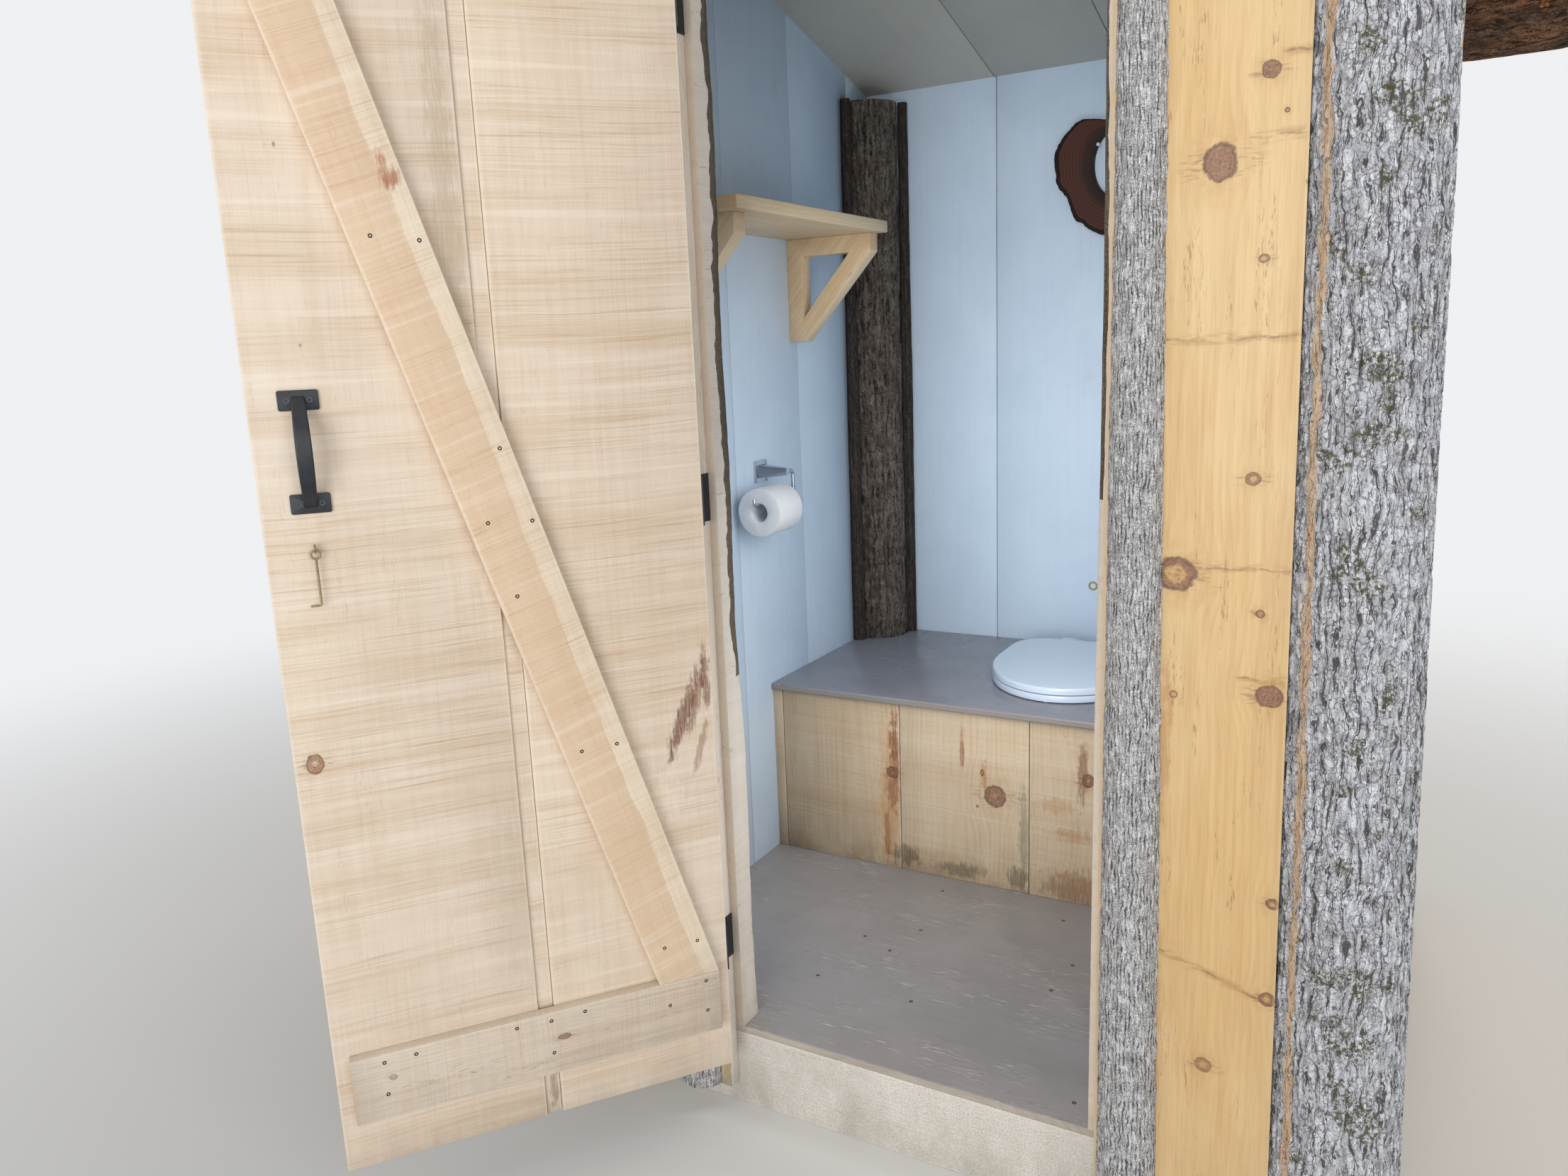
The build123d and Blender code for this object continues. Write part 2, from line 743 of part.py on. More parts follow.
def build_hinges():
    """Three butt hinges: leaves with end knuckles and pin on the jamb side, one knuckle on the door."""
    fixed = []
    moving = []
    third = hinge_length / 3
    for middle in hinge_heights:
        low = middle - hinge_length / 2
        leaf = slab(opening_left, opening_left + hinge_leaf, hinge_y, -half_depth, low, low + hinge_length)
        leaf -= knuckle(low + third - knuckle_gap, low + 2 * third + knuckle_gap, False)
        leaf += knuckle(low, low + third - knuckle_gap, False)
        leaf += knuckle(low + 2 * third + knuckle_gap, low + hinge_length, False)
        leaf += Pos(hinge_x, hinge_y, middle) * Cylinder(pin_radius, third + 2 * pin_bite)
        fixed.append(leaf)
        flap = slab(door_left - hinge_leaf, door_left, hinge_y, door_inner_face, low, low + hinge_length)
        for z0, z1 in ((low, low + third), (low + 2 * third, low + hinge_length)):
            flap -= Pos(hinge_x, hinge_y, (z0 + z1) / 2) * Cylinder(barrel_radius + knuckle_gap, z1 - z0)
        flap += knuckle(low + third, low + 2 * third, False)
        flap -= Pos(hinge_x, hinge_y, middle) * Cylinder(pin_radius + pin_play, hinge_length)
        moving.append(flap)
    return fixed, moving


hinge_fixed, hinge_moving = build_hinges()
add("jamb_hinge_leaves", *hinge_fixed)

hinge_axis = Axis((hinge_x, hinge_y, 0), (0, 0, 1))


def swing(shape):
    """Turn a piece of the closed door to where the door stands at rest."""
    return shape.rotate(hinge_axis, -door_open_angle)


def on_door(s0, s1, z0, z1, depth0, depth1):
    """A slab on the closed door: s from the hinge edge, depth in from the inner face."""
    return slab(door_left + s0, door_left + s1, door_inner_face + depth0, door_inner_face + depth1, z0, z1)


def pull_shape():
    """A cast pull: two screw plates and a bowed flat grip, standing on the plane y = 0 towards +Y."""
    plate = RectangleRounded(pull_plate_width, pull_plate_height, pull_plate_corner)
    foot = (pull_height - pull_plate_height) / 2
    plates = [extrude(Plane.XZ.offset(-pull_plate_thickness) * Pos(0, side * foot) * plate,
                      pull_plate_thickness) for side in (-1, 1)]
    inner_reach = pull_reach - pull_grip_thickness
    outer_foot = foot + pull_grip_thickness
    bow = ThreePointArc((0, -outer_foot), (pull_reach, 0), (0, outer_foot))
    under = ThreePointArc((0, foot), (inner_reach, 0), (0, -foot))
    ends = Line((0, outer_foot), (0, foot)) + Line((0, -foot), (0, -outer_foot))
    side_view = extrude(Plane.YZ * make_face(bow + under + ends), pull_plate_width, both=True)
    front_line = ThreePointArc((pull_grip_end / 2, -outer_foot), (pull_grip_middle / 2, 0),
                               (pull_grip_end / 2, outer_foot))
    front_view = front_line + mirror(front_line, Plane.YZ)
    front_view += [Line((-pull_grip_end / 2, z), (pull_grip_end / 2, z)) for z in (-outer_foot, outer_foot)]
    grip = side_view & extrude(Plane.XZ * make_face(front_view), -2 * pull_reach, both=True)
    edges = grip.edges().filter_by(GeomType.LINE, reverse=True)
    grip = fillet(edges, pull_grip_round)
    return plates[0] + plates[1] + grip


def build_door():
    """Two wide boards with a filler strip between, two ledges and a brace, all planks."""
    second = filler_place + filler_width
    first_board = on_door(0, filler_place, door_foot, door_top, -door_thickness, 0)
    wane = Polygon((door_left, door_inner_face), (door_left + wane_width, door_inner_face),
                   (door_left, door_inner_face - wane_depth), align=None)
    first_board -= extrude(Pos(0, 0, door_foot) * wane, door_top - door_foot)
    filler = on_door(filler_place + filler_gap, second - filler_gap, door_foot, door_top, -door_thickness,
                     -filler_recess)
    second_board = on_door(second, door_width, door_foot, door_top, -door_thickness, 0)
    add("door_boards", *[swing(board) for board in (first_board, filler, second_board)])

    right = door_width - ledge_margin
    ledges = [on_door(ledge_margin, right, z, z + ledge_width, 0, ledge_thickness)
              for z in (low_ledge, high_ledge)]
    add("door_battens", *[swing(ledge) for ledge in ledges])
    foot = low_ledge + ledge_width
    outline = [(ledge_margin, foot), (ledge_margin + brace_width, foot),
               (right, high_ledge), (right - brace_width, high_ledge)]
    brace = extrude(Plane.XZ.offset(-door_inner_face - ledge_thickness)
                    * Polygon(*[(door_left + s, z) for s, z in outline], align=None), ledge_thickness)
    add("door_brace", swing(brace))

    middle = pull_foot + pull_height / 2
    inner = Pos(door_left + pull_place, door_inner_face, middle) * pull_shape()
    outer = Pos(door_left + pull_place, door_outer_face, middle) * Rot(0, 0, 180) * pull_shape()
    add("door_pulls", swing(inner), swing(outer))
    add("door_hinge_leaves", *[swing(flap) for flap in hinge_moving])

    x = door_left + hook_place
    eye = Pos(x, door_inner_face + eye_stand, hook_height)
    add("hook_eye", swing(eye * Rot(0, 0, 180) * screw_eye(eye_stand - eye_radius)))
    hook = Pos(x, door_inner_face + eye_stand, hook_height - eye_radius) * hook_shape()
    add("latch_hook", swing(hook))


def hook_shape():
    """A wire hook that hangs with its ring round the wire at the origin."""
    ring_low = hook_ring_radius - wire_radius - eye_wire - seat_gap
    shaft_top = -ring_low - hook_ring_radius
    path = FilletPolyline((0, 0, shaft_top), (0, 0, -hook_length), (hook_tip, 0, -hook_length),
                          radius=hook_bend)
    shaft = sweep(Plane(origin=(0, 0, shaft_top), z_dir=(0, 0, -1)) * Circle(wire_radius), path=path)
    return shaft + Pos(0, 0, -ring_low) * Rot(90, 0, 0) * Torus(hook_ring_radius, wire_radius)


build_door()

os.makedirs("parts", exist_ok=True)
for name, shape in nodes.items():
    export_step(shape, f"parts/{name}.step")
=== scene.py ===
import json
import logging
import math
import random
from collections.abc import Callable, Iterable, Sequence
from dataclasses import dataclass, field, replace
from enum import Enum
from functools import cached_property

import bmesh
import bpy
from mathutils import Matrix, Vector, noise
from mathutils.bvhtree import BVHTree


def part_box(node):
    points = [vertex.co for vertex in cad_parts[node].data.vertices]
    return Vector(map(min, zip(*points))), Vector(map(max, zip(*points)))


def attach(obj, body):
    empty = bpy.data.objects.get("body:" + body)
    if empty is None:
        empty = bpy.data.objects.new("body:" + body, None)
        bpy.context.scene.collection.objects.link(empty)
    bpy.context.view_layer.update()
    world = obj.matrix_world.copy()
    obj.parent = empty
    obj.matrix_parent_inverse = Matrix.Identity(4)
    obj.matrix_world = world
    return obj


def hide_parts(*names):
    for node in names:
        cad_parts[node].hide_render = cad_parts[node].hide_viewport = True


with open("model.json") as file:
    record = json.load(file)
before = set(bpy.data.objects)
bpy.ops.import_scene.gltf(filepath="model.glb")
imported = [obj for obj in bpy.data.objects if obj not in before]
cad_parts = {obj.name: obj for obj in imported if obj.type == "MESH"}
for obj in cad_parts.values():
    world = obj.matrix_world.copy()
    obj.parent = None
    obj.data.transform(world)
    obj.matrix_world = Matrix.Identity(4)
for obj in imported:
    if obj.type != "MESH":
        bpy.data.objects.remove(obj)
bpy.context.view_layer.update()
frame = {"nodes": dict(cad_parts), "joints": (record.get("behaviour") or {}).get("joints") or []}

# All lengths are metres in the part's own frame: +X to the right facing the door, +Y in, +Z up.
log = logging.getLogger("outhouse")
Socket = bpy.types.NodeSocket
Tree = bpy.types.NodeTree
Mesh = bmesh.types.BMesh
Feed = float | Sequence[float] | Socket
Place = tuple[float, float, float]
Colour = tuple[float, float, float, float]

# Edges turned less than these angles are shaded smooth.
SCREW_SMOOTH = math.radians(30)
SHAPE_SMOOTH = math.radians(32)
BOARD_SMOOTH = math.radians(35)
SLICE_SMOOTH = math.radians(40)
LOG_SMOOTH = math.radians(50)
SAPLING_SMOOTH = math.radians(60)


class Body(Enum):
    """The bodies that pieces ride on."""

    HOUSE = "house"
    DOOR = "door"
    LID = "lid"
    HOOK = "hook"
    ROLL = "roll"


def tint(red: int, green: int, blue: int) -> Colour:
    """A colour as a screen shows it, 0 to 255 each, turned to linear light.

    Args:
        red: Red as shown.
        green: Green as shown.
        blue: Blue as shown.

    Returns:
        The linear colour with full alpha.
    """
    linear = [((c / 255 + 0.055) / 1.055) ** 2.4 if c > 10 else c / 255 / 12.92 for c in (red, green, blue)]
    return linear[0], linear[1], linear[2], 1.0


class Sketch:
    """Draws a node tree: each method adds a node, feeds it and gives back what it puts out."""

    def __init__(self, tree: Tree) -> None:
        """Starts drawing in a tree."""
        self.tree = tree

    def add(self, kind: str, feeds: dict[int | str, Feed], **settings: object) -> bpy.types.Node:
        """Adds one shader node.

        Args:
            kind: The node's type without its ShaderNode prefix.
            feeds: What goes into each input, by number or name.
            settings: The node's own options.

        Returns:
            The new node.
        """
        node = self.tree.nodes.new("ShaderNode" + kind)
        for name, value in settings.items():
            setattr(node, name, value)
        for key, feed in feeds.items():
            if isinstance(feed, Socket):
                self.tree.links.new(feed, node.inputs[key])
            else:
                node.inputs[key].default_value = feed
        return node

    def maths(self, operation: str, *values: Feed) -> Socket:
        """A number worked out from up to three others."""
        return self.add("Math", dict(enumerate(values)), operation=operation).outputs[0]

    def times(self, value: Feed, factor: Feed) -> Socket:
        """One number times another."""
        return self.maths("MULTIPLY", value, factor)

    def plus(self, value: Feed, other: Feed) -> Socket:
        """The sum of two numbers."""
        return self.maths("ADD", value, other)

    def minus(self, value: Feed, other: Feed) -> Socket:
        """One number less another."""
        return self.maths("SUBTRACT", value, other)

    def over(self, value: Feed, divisor: Feed) -> Socket:
        """One number divided by another."""
        return self.maths("DIVIDE", value, divisor)

    def times_plus(self, value: Feed, factor: Feed, rest: Feed) -> Socket:
        """One number times another, and a third added."""
        return self.maths("MULTIPLY_ADD", value, factor, rest)

    def scaled(self, vector: Feed, factors: Sequence[float]) -> Socket:
        """A vector times one factor for each axis."""
        return self.add("VectorMath", {0: vector, 1: factors}, operation="MULTIPLY").outputs[0]

    def moved(self, vector: Feed, shift: Feed) -> Socket:
        """The sum of two vectors."""
        return self.add("VectorMath", {0: vector, 1: shift}, operation="ADD").outputs[0]

    def split(self, vector: Feed) -> list[Socket]:
        """The three parts of a vector."""
        return list(self.add("SeparateXYZ", {0: vector}).outputs)

    def join(self, x: Feed, y: Feed, z: Feed) -> Socket:
        """A vector made of three numbers."""
        return self.add("CombineXYZ", {0: x, 1: y, 2: z}).outputs[0]

    def noise(self, vector: Feed, scale: float, detail: float = 3.0, rough: float = 0.55) -> Socket:
        """Soft cloudy noise from 0 to 1."""
        feeds = {"Vector": vector, "Scale": scale, "Detail": detail, "Roughness": rough}
        return self.add("TexNoise", feeds).outputs[0]

    def cells(self, vector: Feed, scale: float, feature: str = "F1") -> bpy.types.Node:
        """Voronoi cells; their node puts out distance and a colour for each cell."""
        return self.add("TexVoronoi", {"Vector": vector, "Scale": scale}, feature=feature)

    def spread(self, value: Feed, low: Feed, high: Feed, start: Feed = 0.0, end: Feed = 1.0) -> Socket:
        """A smooth step from start at low to end at high."""
        feeds = {0: value, 1: low, 2: high, 3: start, 4: end}
        return self.add("MapRange", feeds, interpolation_type="SMOOTHSTEP").outputs[0]

    def mix(self, amount: Feed, low: Feed, high: Feed) -> Socket:
        """One colour blended into another."""
        return self.add("Mix", {0: amount, 6: low, 7: high}, data_type="RGBA").outputs[2]

    def attribute(self, name: str) -> Socket:
        """A vector kept on the mesh's points."""
        return self.add("Attribute", {}, attribute_name=name).outputs["Vector"]

    def use(self, group: Tree, **feeds: Feed) -> dict[str, Socket]:
        """Places an effect and gives back its outputs by name."""
        node = self.add("Group", {}, node_tree=group)
        for key, feed in feeds.items():
            if isinstance(feed, Socket):
                self.tree.links.new(feed, node.inputs[key])
            else:
                node.inputs[key].default_value = feed
        return {socket.name: socket for socket in node.outputs}

    def strongest(self, masks: Sequence[Feed]) -> Feed:
        """The highest of several masks, or nothing where there are none."""
        best: Feed = masks[0] if masks else 0.0
        for mask in masks[1:]:
            best = self.maths("MAXIMUM", best, mask)
        return best


def make_effect(name: str, feeds: dict[str, Feed], draw: Callable[[Sketch, dict], dict]) -> Tree:
    """Builds one shared effect as a node group.

    Args:
        name: The group's name.
        feeds: Its inputs with their starting values; a number or a vector each.
        draw: Draws the inside from the inputs and returns the outputs by name.

    Returns:
        The node group.
    """
    tree = bpy.data.node_groups.new(name, "ShaderNodeTree")
    for label, start in feeds.items():
        kind = "NodeSocketFloat" if isinstance(start, (int, float)) else "NodeSocketVector"
        tree.interface.new_socket(label, in_out="INPUT", socket_type=kind).default_value = start
    entry = tree.nodes.new("NodeGroupInput")
    made = draw(Sketch(tree), {socket.name: socket for socket in entry.outputs if socket.name})
    for label in made:
        tree.interface.new_socket(label, in_out="OUTPUT", socket_type="NodeSocketFloat")
    way_out = tree.nodes.new("NodeGroupOutput")
    for label, socket in made.items():
        tree.links.new(socket, way_out.inputs[label])
    return tree


class Effects:
    """The surface effects that several finishes share, each built once."""

    @cached_property
    def growth_rings(self) -> Tree:
        """Annual rings cut by a board: arcs on its ends, long tapering bands on its faces."""

        def draw(s: Sketch, i: dict) -> dict:
            across, along, depth = s.split(i["Plank"])
            chance_a, chance_b, chance_c = s.split(i["Number"])
            sway = s.noise(s.join(s.times(chance_a, 90.0), s.times(along, 1.6), 0.0), 1.0, 2.0)
            heart = s.times_plus(s.minus(chance_a, 0.5), 0.16, s.times(s.minus(sway, 0.5), 0.09))
            side = s.minus(s.minus(across, i["Push"]), heart)
            low = s.plus(depth, s.times_plus(chance_b, 0.05, 0.022))
            reach = s.maths("SQRT", s.plus(s.times(side, side), s.times(low, low)))
            reach = s.plus(reach, s.times(along, s.times_plus(chance_c, 0.016, 0.004)))
            ripple = s.noise(s.scaled(s.moved(i["Plank"], i["Number"]), (26, 3.5, 26)), 1.0, 3.0)
            reach = s.times_plus(ripple, 0.007, reach)
            count = s.over(reach, i["Width"])
            part = s.maths("FRACT", count)
            year = s.noise(s.join(s.maths("FLOOR", count), 0.0, 0.0), 0.73, 0.0)
            late = s.times(s.spread(part, 0.25, 0.9), s.spread(part, 1.0, 0.93))
            late = s.times(late, s.spread(year, 0.25, 0.7, 0.35, 1.0))
            return {"Late": late}

        feeds = {"Plank": (0, 0, 0), "Number": (0, 0, 0), "Width": 0.005, "Push": 0.0}
        return make_effect("growth rings", feeds, draw)

    @cached_property
    def fibres(self) -> Tree:
        """Streaks along the grain, columns of short dark flecks, and a slow change of tone over the board."""

        def draw(s: Sketch, i: dict) -> dict:
            place = s.moved(i["Plank"], s.scaled(i["Number"], (7, 13, 3)))
            streak = s.noise(s.scaled(place, (520, 15, 520)), 1.0, 3.0, 0.6)
            wide = s.noise(s.scaled(place, (110, 3.5, 110)), 1.0, 3.0, 0.6)
            dash = s.noise(s.scaled(place, (460, 58, 460)), 1.0, 2.0, 0.6)
            where = s.noise(s.scaled(place, (52, 4.5, 52)), 1.0, 3.0, 0.6)
            fleck = s.times(s.spread(dash, 0.54, 0.64), s.spread(where, 0.54, 0.66))
            cloud = s.noise(s.scaled(place, (9, 3.2, 9)), 1.0, 3.0)
            return {"Streak": streak, "Wide": wide, "Fleck": fleck, "Cloud": cloud}

        return make_effect("wood fibres", {"Plank": (0, 0, 0), "Number": (0, 0, 0)}, draw)

    @cached_property
    def saw_marks(self) -> Tree:
        """Marks that a saw leaves square across a board: broad bands, lines and fine ripples."""

        def draw(s: Sketch, i: dict) -> dict:
            across, along, _ = s.split(i["Plank"])
            chance = s.split(i["Number"])[1]
            bow = s.noise(s.scaled(s.moved(i["Plank"], i["Number"]), (4, 2, 4)), 1.0, 1.0)
            run = s.times_plus(across, s.times_plus(chance, 0.05, -0.015), along)
            run = s.times_plus(bow, 0.012, run)
            marks = []
            kinds = ((15.0, 0.7, 2.0), (78.0, 2.0, 2.0), (330.0, 5.0, 1.0), (125.0, 0.9, 3.0))
            for pace, drift, detail in kinds:
                spot = s.join(s.times(run, pace), s.times(across, drift), s.times(chance, 50.0))
                marks.append(s.noise(spot, 1.0, detail, 0.6))
            patch = s.noise(s.scaled(s.moved(i["Plank"], i["Number"]), (1.6, 14, 1.6)), 1.0, 3.0)
            strong = s.spread(patch, 0.36, 0.62, 0.1, 1.0)
            broken = s.spread(s.noise(s.scaled(i["Plank"], (6, 90, 6)), 1.0, 3.0), 0.36, 0.62, 0.15, 1.0)
            stroke = s.spread(s.maths("ABSOLUTE", s.minus(marks[3], 0.5)), 0.026, 0.003)
            return {"Band": s.times(s.spread(marks[0], 0.38, 0.62), strong),
                    "Line": s.times(s.spread(marks[1], 0.48, 0.66), s.spread(patch, 0.6, 0.4, 0.3, 1.0)),
                    "Fine": s.times(s.spread(marks[2], 0.45, 0.7), strong),
                    "Stroke": s.times(s.times(stroke, strong), broken)}

        return make_effect("saw marks", {"Plank": (0, 0, 0), "Number": (0, 0, 0)}, draw)

    @cached_property
    def knot(self) -> Tree:
        """One knot at a place on an upright face: a mottled body, a rim and the grain that parts round it."""

        def draw(s: Sketch, i: dict) -> dict:
            x, _, z = s.split(i["Place"])
            ragged = s.minus(s.noise(i["Place"], 95.0, 3.0), 0.5)
            u = s.over(s.minus(x, i["X"]), i["Radius"])
            v = s.over(s.minus(z, i["Z"]), s.times(i["Radius"], i["Tall"]))
            square = s.plus(s.times(u, u), s.times(v, v))
            plain = s.maths("SQRT", square)
            far = s.times_plus(ragged, 0.55, plain)
            core = s.spread(far, 1.08, 0.84)
            mottle = s.spread(s.noise(i["Place"], 330.0, 2.0), 0.3, 0.7, 0.62, 1.0)
            body = s.times(core, s.times(mottle, s.spread(far, i["Hollow"], s.plus(i["Hollow"], 0.3))))
            rim = s.times(s.spread(far, 0.78, 0.96), s.spread(far, 1.12, 0.98))
            turns = s.times_plus(s.maths("SINE", s.times(far, 23.0)), 0.5, 0.5)
            broken = s.spread(s.noise(i["Place"], 130.0, 2.0), 0.4, 0.62)
            halo = s.times(s.spread(far, 2.9, 0.9), s.spread(s.noise(i["Place"], 70.0, 4.0), 0.3, 0.66))
            level = s.spread(s.maths("ABSOLUTE", v), 1.3, 0.2)
            smear = s.times(level, s.spread(s.maths("ABSOLUTE", u), 3.4, 1.2))
            cloud = s.noise(s.scaled(i["Place"], (60, 60, 260)), 1.0, 3.0)
            smear = s.times(smear, s.spread(cloud, 0.5, 0.66))
            fade = s.maths("EXPONENT", s.times(square, -0.17))
            push = s.times(s.times(u, i["Radius"]), s.times(fade, 0.8))
            return {"Core": core, "Body": body, "Rim": rim, "Rings": s.times(s.times(turns, broken), core),
                    "Halo": halo, "Smear": smear, "Push": push}

        feeds = {"Place": (0, 0, 0), "X": 0.0, "Z": 0.0, "Radius": 0.01, "Tall": 1.0, "Hollow": 0.3}
        return make_effect("knot", feeds, draw)

    @cached_property
    def wild_knots(self) -> Tree:
        """Knots strewn over boards by chance."""

        def draw(s: Sketch, i: dict) -> dict:
            across, along, _ = s.split(i["Plank"])
            shift = s.scaled(i["Number"], (11, 17, 23))
            spot = s.moved(s.join(s.times(across, 1.6), along, 0.0), shift)
            ragged = s.minus(s.noise(i["Plank"], 80.0, 2.0), 0.5)
            node = s.cells(spot, 5.0)
            chance, size, _ = s.split(node.outputs[1])
            reach = s.times_plus(ragged, 0.03, node.outputs[0])
            radius = s.times_plus(size, 0.055, 0.025)
            far = s.over(reach, radius)
            alive = s.spread(chance, s.minus(1.0, i["Share"]), s.minus(1.02, i["Share"]))
            core = s.times(s.spread(far, 1.0, 0.86), alive)
            rim = s.times(s.times(s.spread(far, 0.75, 0.95), s.spread(far, 1.15, 0.98)), alive)
            rings = s.times_plus(s.maths("SINE", s.times(far, 17.0)), 0.5, 0.5)
            body = s.times(core, s.spread(far, 0.15, 0.6, 0.35, 1.0))
            return {"Core": core, "Body": body, "Rim": rim, "Rings": s.times(rings, core),
                    "Halo": s.times(s.spread(far, 3.2, 1.0), alive)}

        return make_effect("wild knots", {"Plank": (0, 0, 0), "Number": (0, 0, 0), "Share": 0.3}, draw)

    @cached_property
    def whorl(self) -> Tree:
        """A thin broken dark line across a board, where branches once grew in a ring."""

        def draw(s: Sketch, i: dict) -> dict:
            x, _, z = s.split(i["Place"])
            bend = s.minus(s.noise(s.scaled(i["Place"], (1, 1, 0.2)), 34.0, 3.0), 0.5)
            rise = s.minus(s.times_plus(x, i["Tilt"], z), i["Z"])
            far = s.maths("ABSOLUTE", s.times_plus(bend, 0.012, rise))
            broken = s.spread(s.noise(i["Place"], 75.0, 2.0), 0.38, 0.6)
            inside = s.times(s.spread(x, i["Start"], s.plus(i["Start"], 0.02)),
                             s.spread(x, s.plus(i["End"], 0.001), i["End"]))
            line = s.times(s.times(s.spread(far, 0.0022, 0.0004), broken), inside)
            cloud = s.spread(s.noise(s.scaled(i["Place"], (40, 40, 150)), 1.0, 3.0), 0.42, 0.6)
            smudge = s.times(s.times(s.spread(far, 0.011, 0.001), cloud), inside)
            return {"Line": line, "Smudge": smudge}

        feeds = {"Place": (0, 0, 0), "Z": 0.0, "Tilt": 0.0, "Start": -9.0, "End": 9.0}
        return make_effect("whorl", feeds, draw)

    @cached_property
    def stain(self) -> Tree:
        """A ragged stain round a place on an upright face, streaked along the grain."""

        def draw(s: Sketch, i: dict) -> dict:
            x, _, z = s.split(i["Place"])
            u = s.over(s.minus(s.times_plus(z, i["Lean"], x), i["X"]), i["Wide"])
            v = s.over(s.minus(z, i["Z"]), i["High"])
            far = s.maths("SQRT", s.plus(s.times(u, u), s.times(v, v)))
            streak = s.noise(s.scaled(i["Place"], (260, 1, 14)), 1.0, 3.0, 0.65)
            blot = s.noise(s.scaled(i["Place"], (90, 1, 45)), 1.0, 4.0, 0.6)
            edge = s.times_plus(s.minus(streak, 0.5), 1.3, far)
            edge = s.times_plus(s.minus(blot, 0.5), 1.7, edge)
            fine = s.noise(s.scaled(i["Place"], (620, 1, 34)), 1.0, 3.0, 0.6)
            return {"Mask": s.times(s.spread(edge, 1.0, 0.4), s.spread(fine, 0.3, 0.6, 0.45, 1.0))}

        feeds = {"Place": (0, 0, 0), "X": 0.0, "Z": 0.0, "Wide": 0.02, "High": 0.1, "Lean": 0.0}
        return make_effect("stain", feeds, draw)

    @cached_property
    def edges(self) -> Tree:
        """How near a point is to its board's long edges and to its ends."""

        def draw(s: Sketch, i: dict) -> dict:
            across, along, depth = s.split(i["Plank"])
            half_w, half_l, half_t = s.split(i["Half"])
            side = s.minus(half_w, s.maths("ABSOLUTE", across))
            end = s.minus(half_l, s.maths("ABSOLUTE", along))
            wander = s.times(s.noise(i["Plank"], 42.0, 3.0), 0.006)
            worn = s.spread(s.minus(side, wander), 0.002, -0.002)
            cut = s.spread(end, 0.0007, 0.0002)
            near_end = s.spread(s.times_plus(wander, 6.0, end), 0.09, 0.0)
            return {"Worn": worn, "Cut": cut, "Near end": near_end}

        return make_effect("board edges", {"Plank": (0, 0, 0), "Half": (1, 1, 1)}, draw)

    @cached_property
    def splashes(self) -> Tree:
        """Dirt thrown up by rain from the ground, heaviest low down."""

        def draw(s: Sketch, i: dict) -> dict:
            point = s.add("TexCoord", {}).outputs["Object"]
            height = s.split(point)[2]
            cloud = s.noise(s.scaled(point, (1, 1, 0.55)), 13.0, 5.0, 0.65)
            grains = s.noise(point, 260.0, 2.0)
            low = s.spread(height, i["Reach"], 0.02)
            dirt = s.times(low, s.spread(cloud, 0.3, 0.72))
            specks = s.times(s.spread(grains, 0.62, 0.7), low)
            return {"Dirt": dirt, "Specks": specks}

        return make_effect("splashes", {"Reach": 0.35}, draw)

    @cached_property
    def bark(self) -> Tree:
        """Cracks that run up a log in broken lines, with flakes, grit and patches between them; the flakes'
        edges give a mask for painted shadow.
        """

        def draw(s: Sketch, i: dict) -> dict:
            x, y, z = s.split(i["Trunk"])
            sway = s.noise(s.scaled(i["Trunk"], (34, 34, 11)), 1.0, 3.0, 0.6)
            jag = s.noise(s.scaled(i["Trunk"], (260, 260, 95)), 1.0, 2.0, 0.6)
            turn = s.times(s.over(s.maths("ARCTAN2", y, x), math.tau), i["Count"])
            turn = s.times_plus(sway, i["Sway"], s.times_plus(jag, 0.55, turn))
            cracks = []
            for times, width, pace in ((1.0, 0.20, 21.0), (2.0, 0.11, 47.0)):
                strip = s.times_plus(turn, times, 0.3 * times)
                away = s.maths("ABSOLUTE", s.minus(s.maths("FRACT", strip), 0.5))
                spot = s.join(s.times(s.maths("FLOOR", strip), 3.7), s.times(z, pace), times)
                reach = s.spread(s.noise(spot, 1.0, 3.0, 0.6), 0.40, 0.66, 0.004, width * times)
                cracks.append(s.spread(away, reach, s.times(reach, 0.3)))
            size = i["Flake"]
            spot = s.join(s.over(x, size), s.over(y, size), s.over(s.over(z, 1.35), size))
            feeds = {"Vector": spot, "Scale": 0.9, "Detail": 3.0, "Roughness": 0.6}
            warp = s.add("TexNoise", feeds).outputs[1]
            spot = s.moved(spot, s.scaled(warp, (1.3, 1.3, 1.3)))
            patch = s.noise(s.scaled(i["Trunk"], (1, 1, 0.45)), 17.0, 4.0, 0.6)
            # Thin rims at the flakes' edges: painted shadow under them in the colour, and sunk a little in
            # the bump.
            lip = s.times(s.spread(s.cells(spot, 1.0, "DISTANCE_TO_EDGE").outputs[0], 0.11, 0.015),
                          s.spread(s.noise(i["Trunk"], 55.0, 2.0), 0.34, 0.58))
            grit = s.noise(i["Trunk"], 560.0, 3.0, 0.7)
            return {"Crack": cracks[0], "Split": cracks[1], "Flake edge shade": lip,
                    "Chance": s.split(s.cells(spot, 1.0).outputs[1])[0], "Grit": grit, "Patch": patch}

        feeds = {"Trunk": (0, 0, 0), "Count": 48.0, "Sway": 3.0, "Flake": 0.008}
        return make_effect("bark", feeds, draw)

    @cached_property
    def dust(self) -> Tree:
        """Fine uneven dust and smears on smooth things."""

        def draw(s: Sketch, i: dict) -> dict:
            point = s.add("TexCoord", {}).outputs["Object"]
            cloud = s.noise(point, i["Scale"], 5.0, 0.6)
            grains = s.noise(point, 900.0, 2.0)
            return {"Cloud": s.spread(cloud, 0.35, 0.7), "Grains": grains}

        return make_effect("dust", {"Scale": 14.0}, draw)


EFFECTS = Effects()


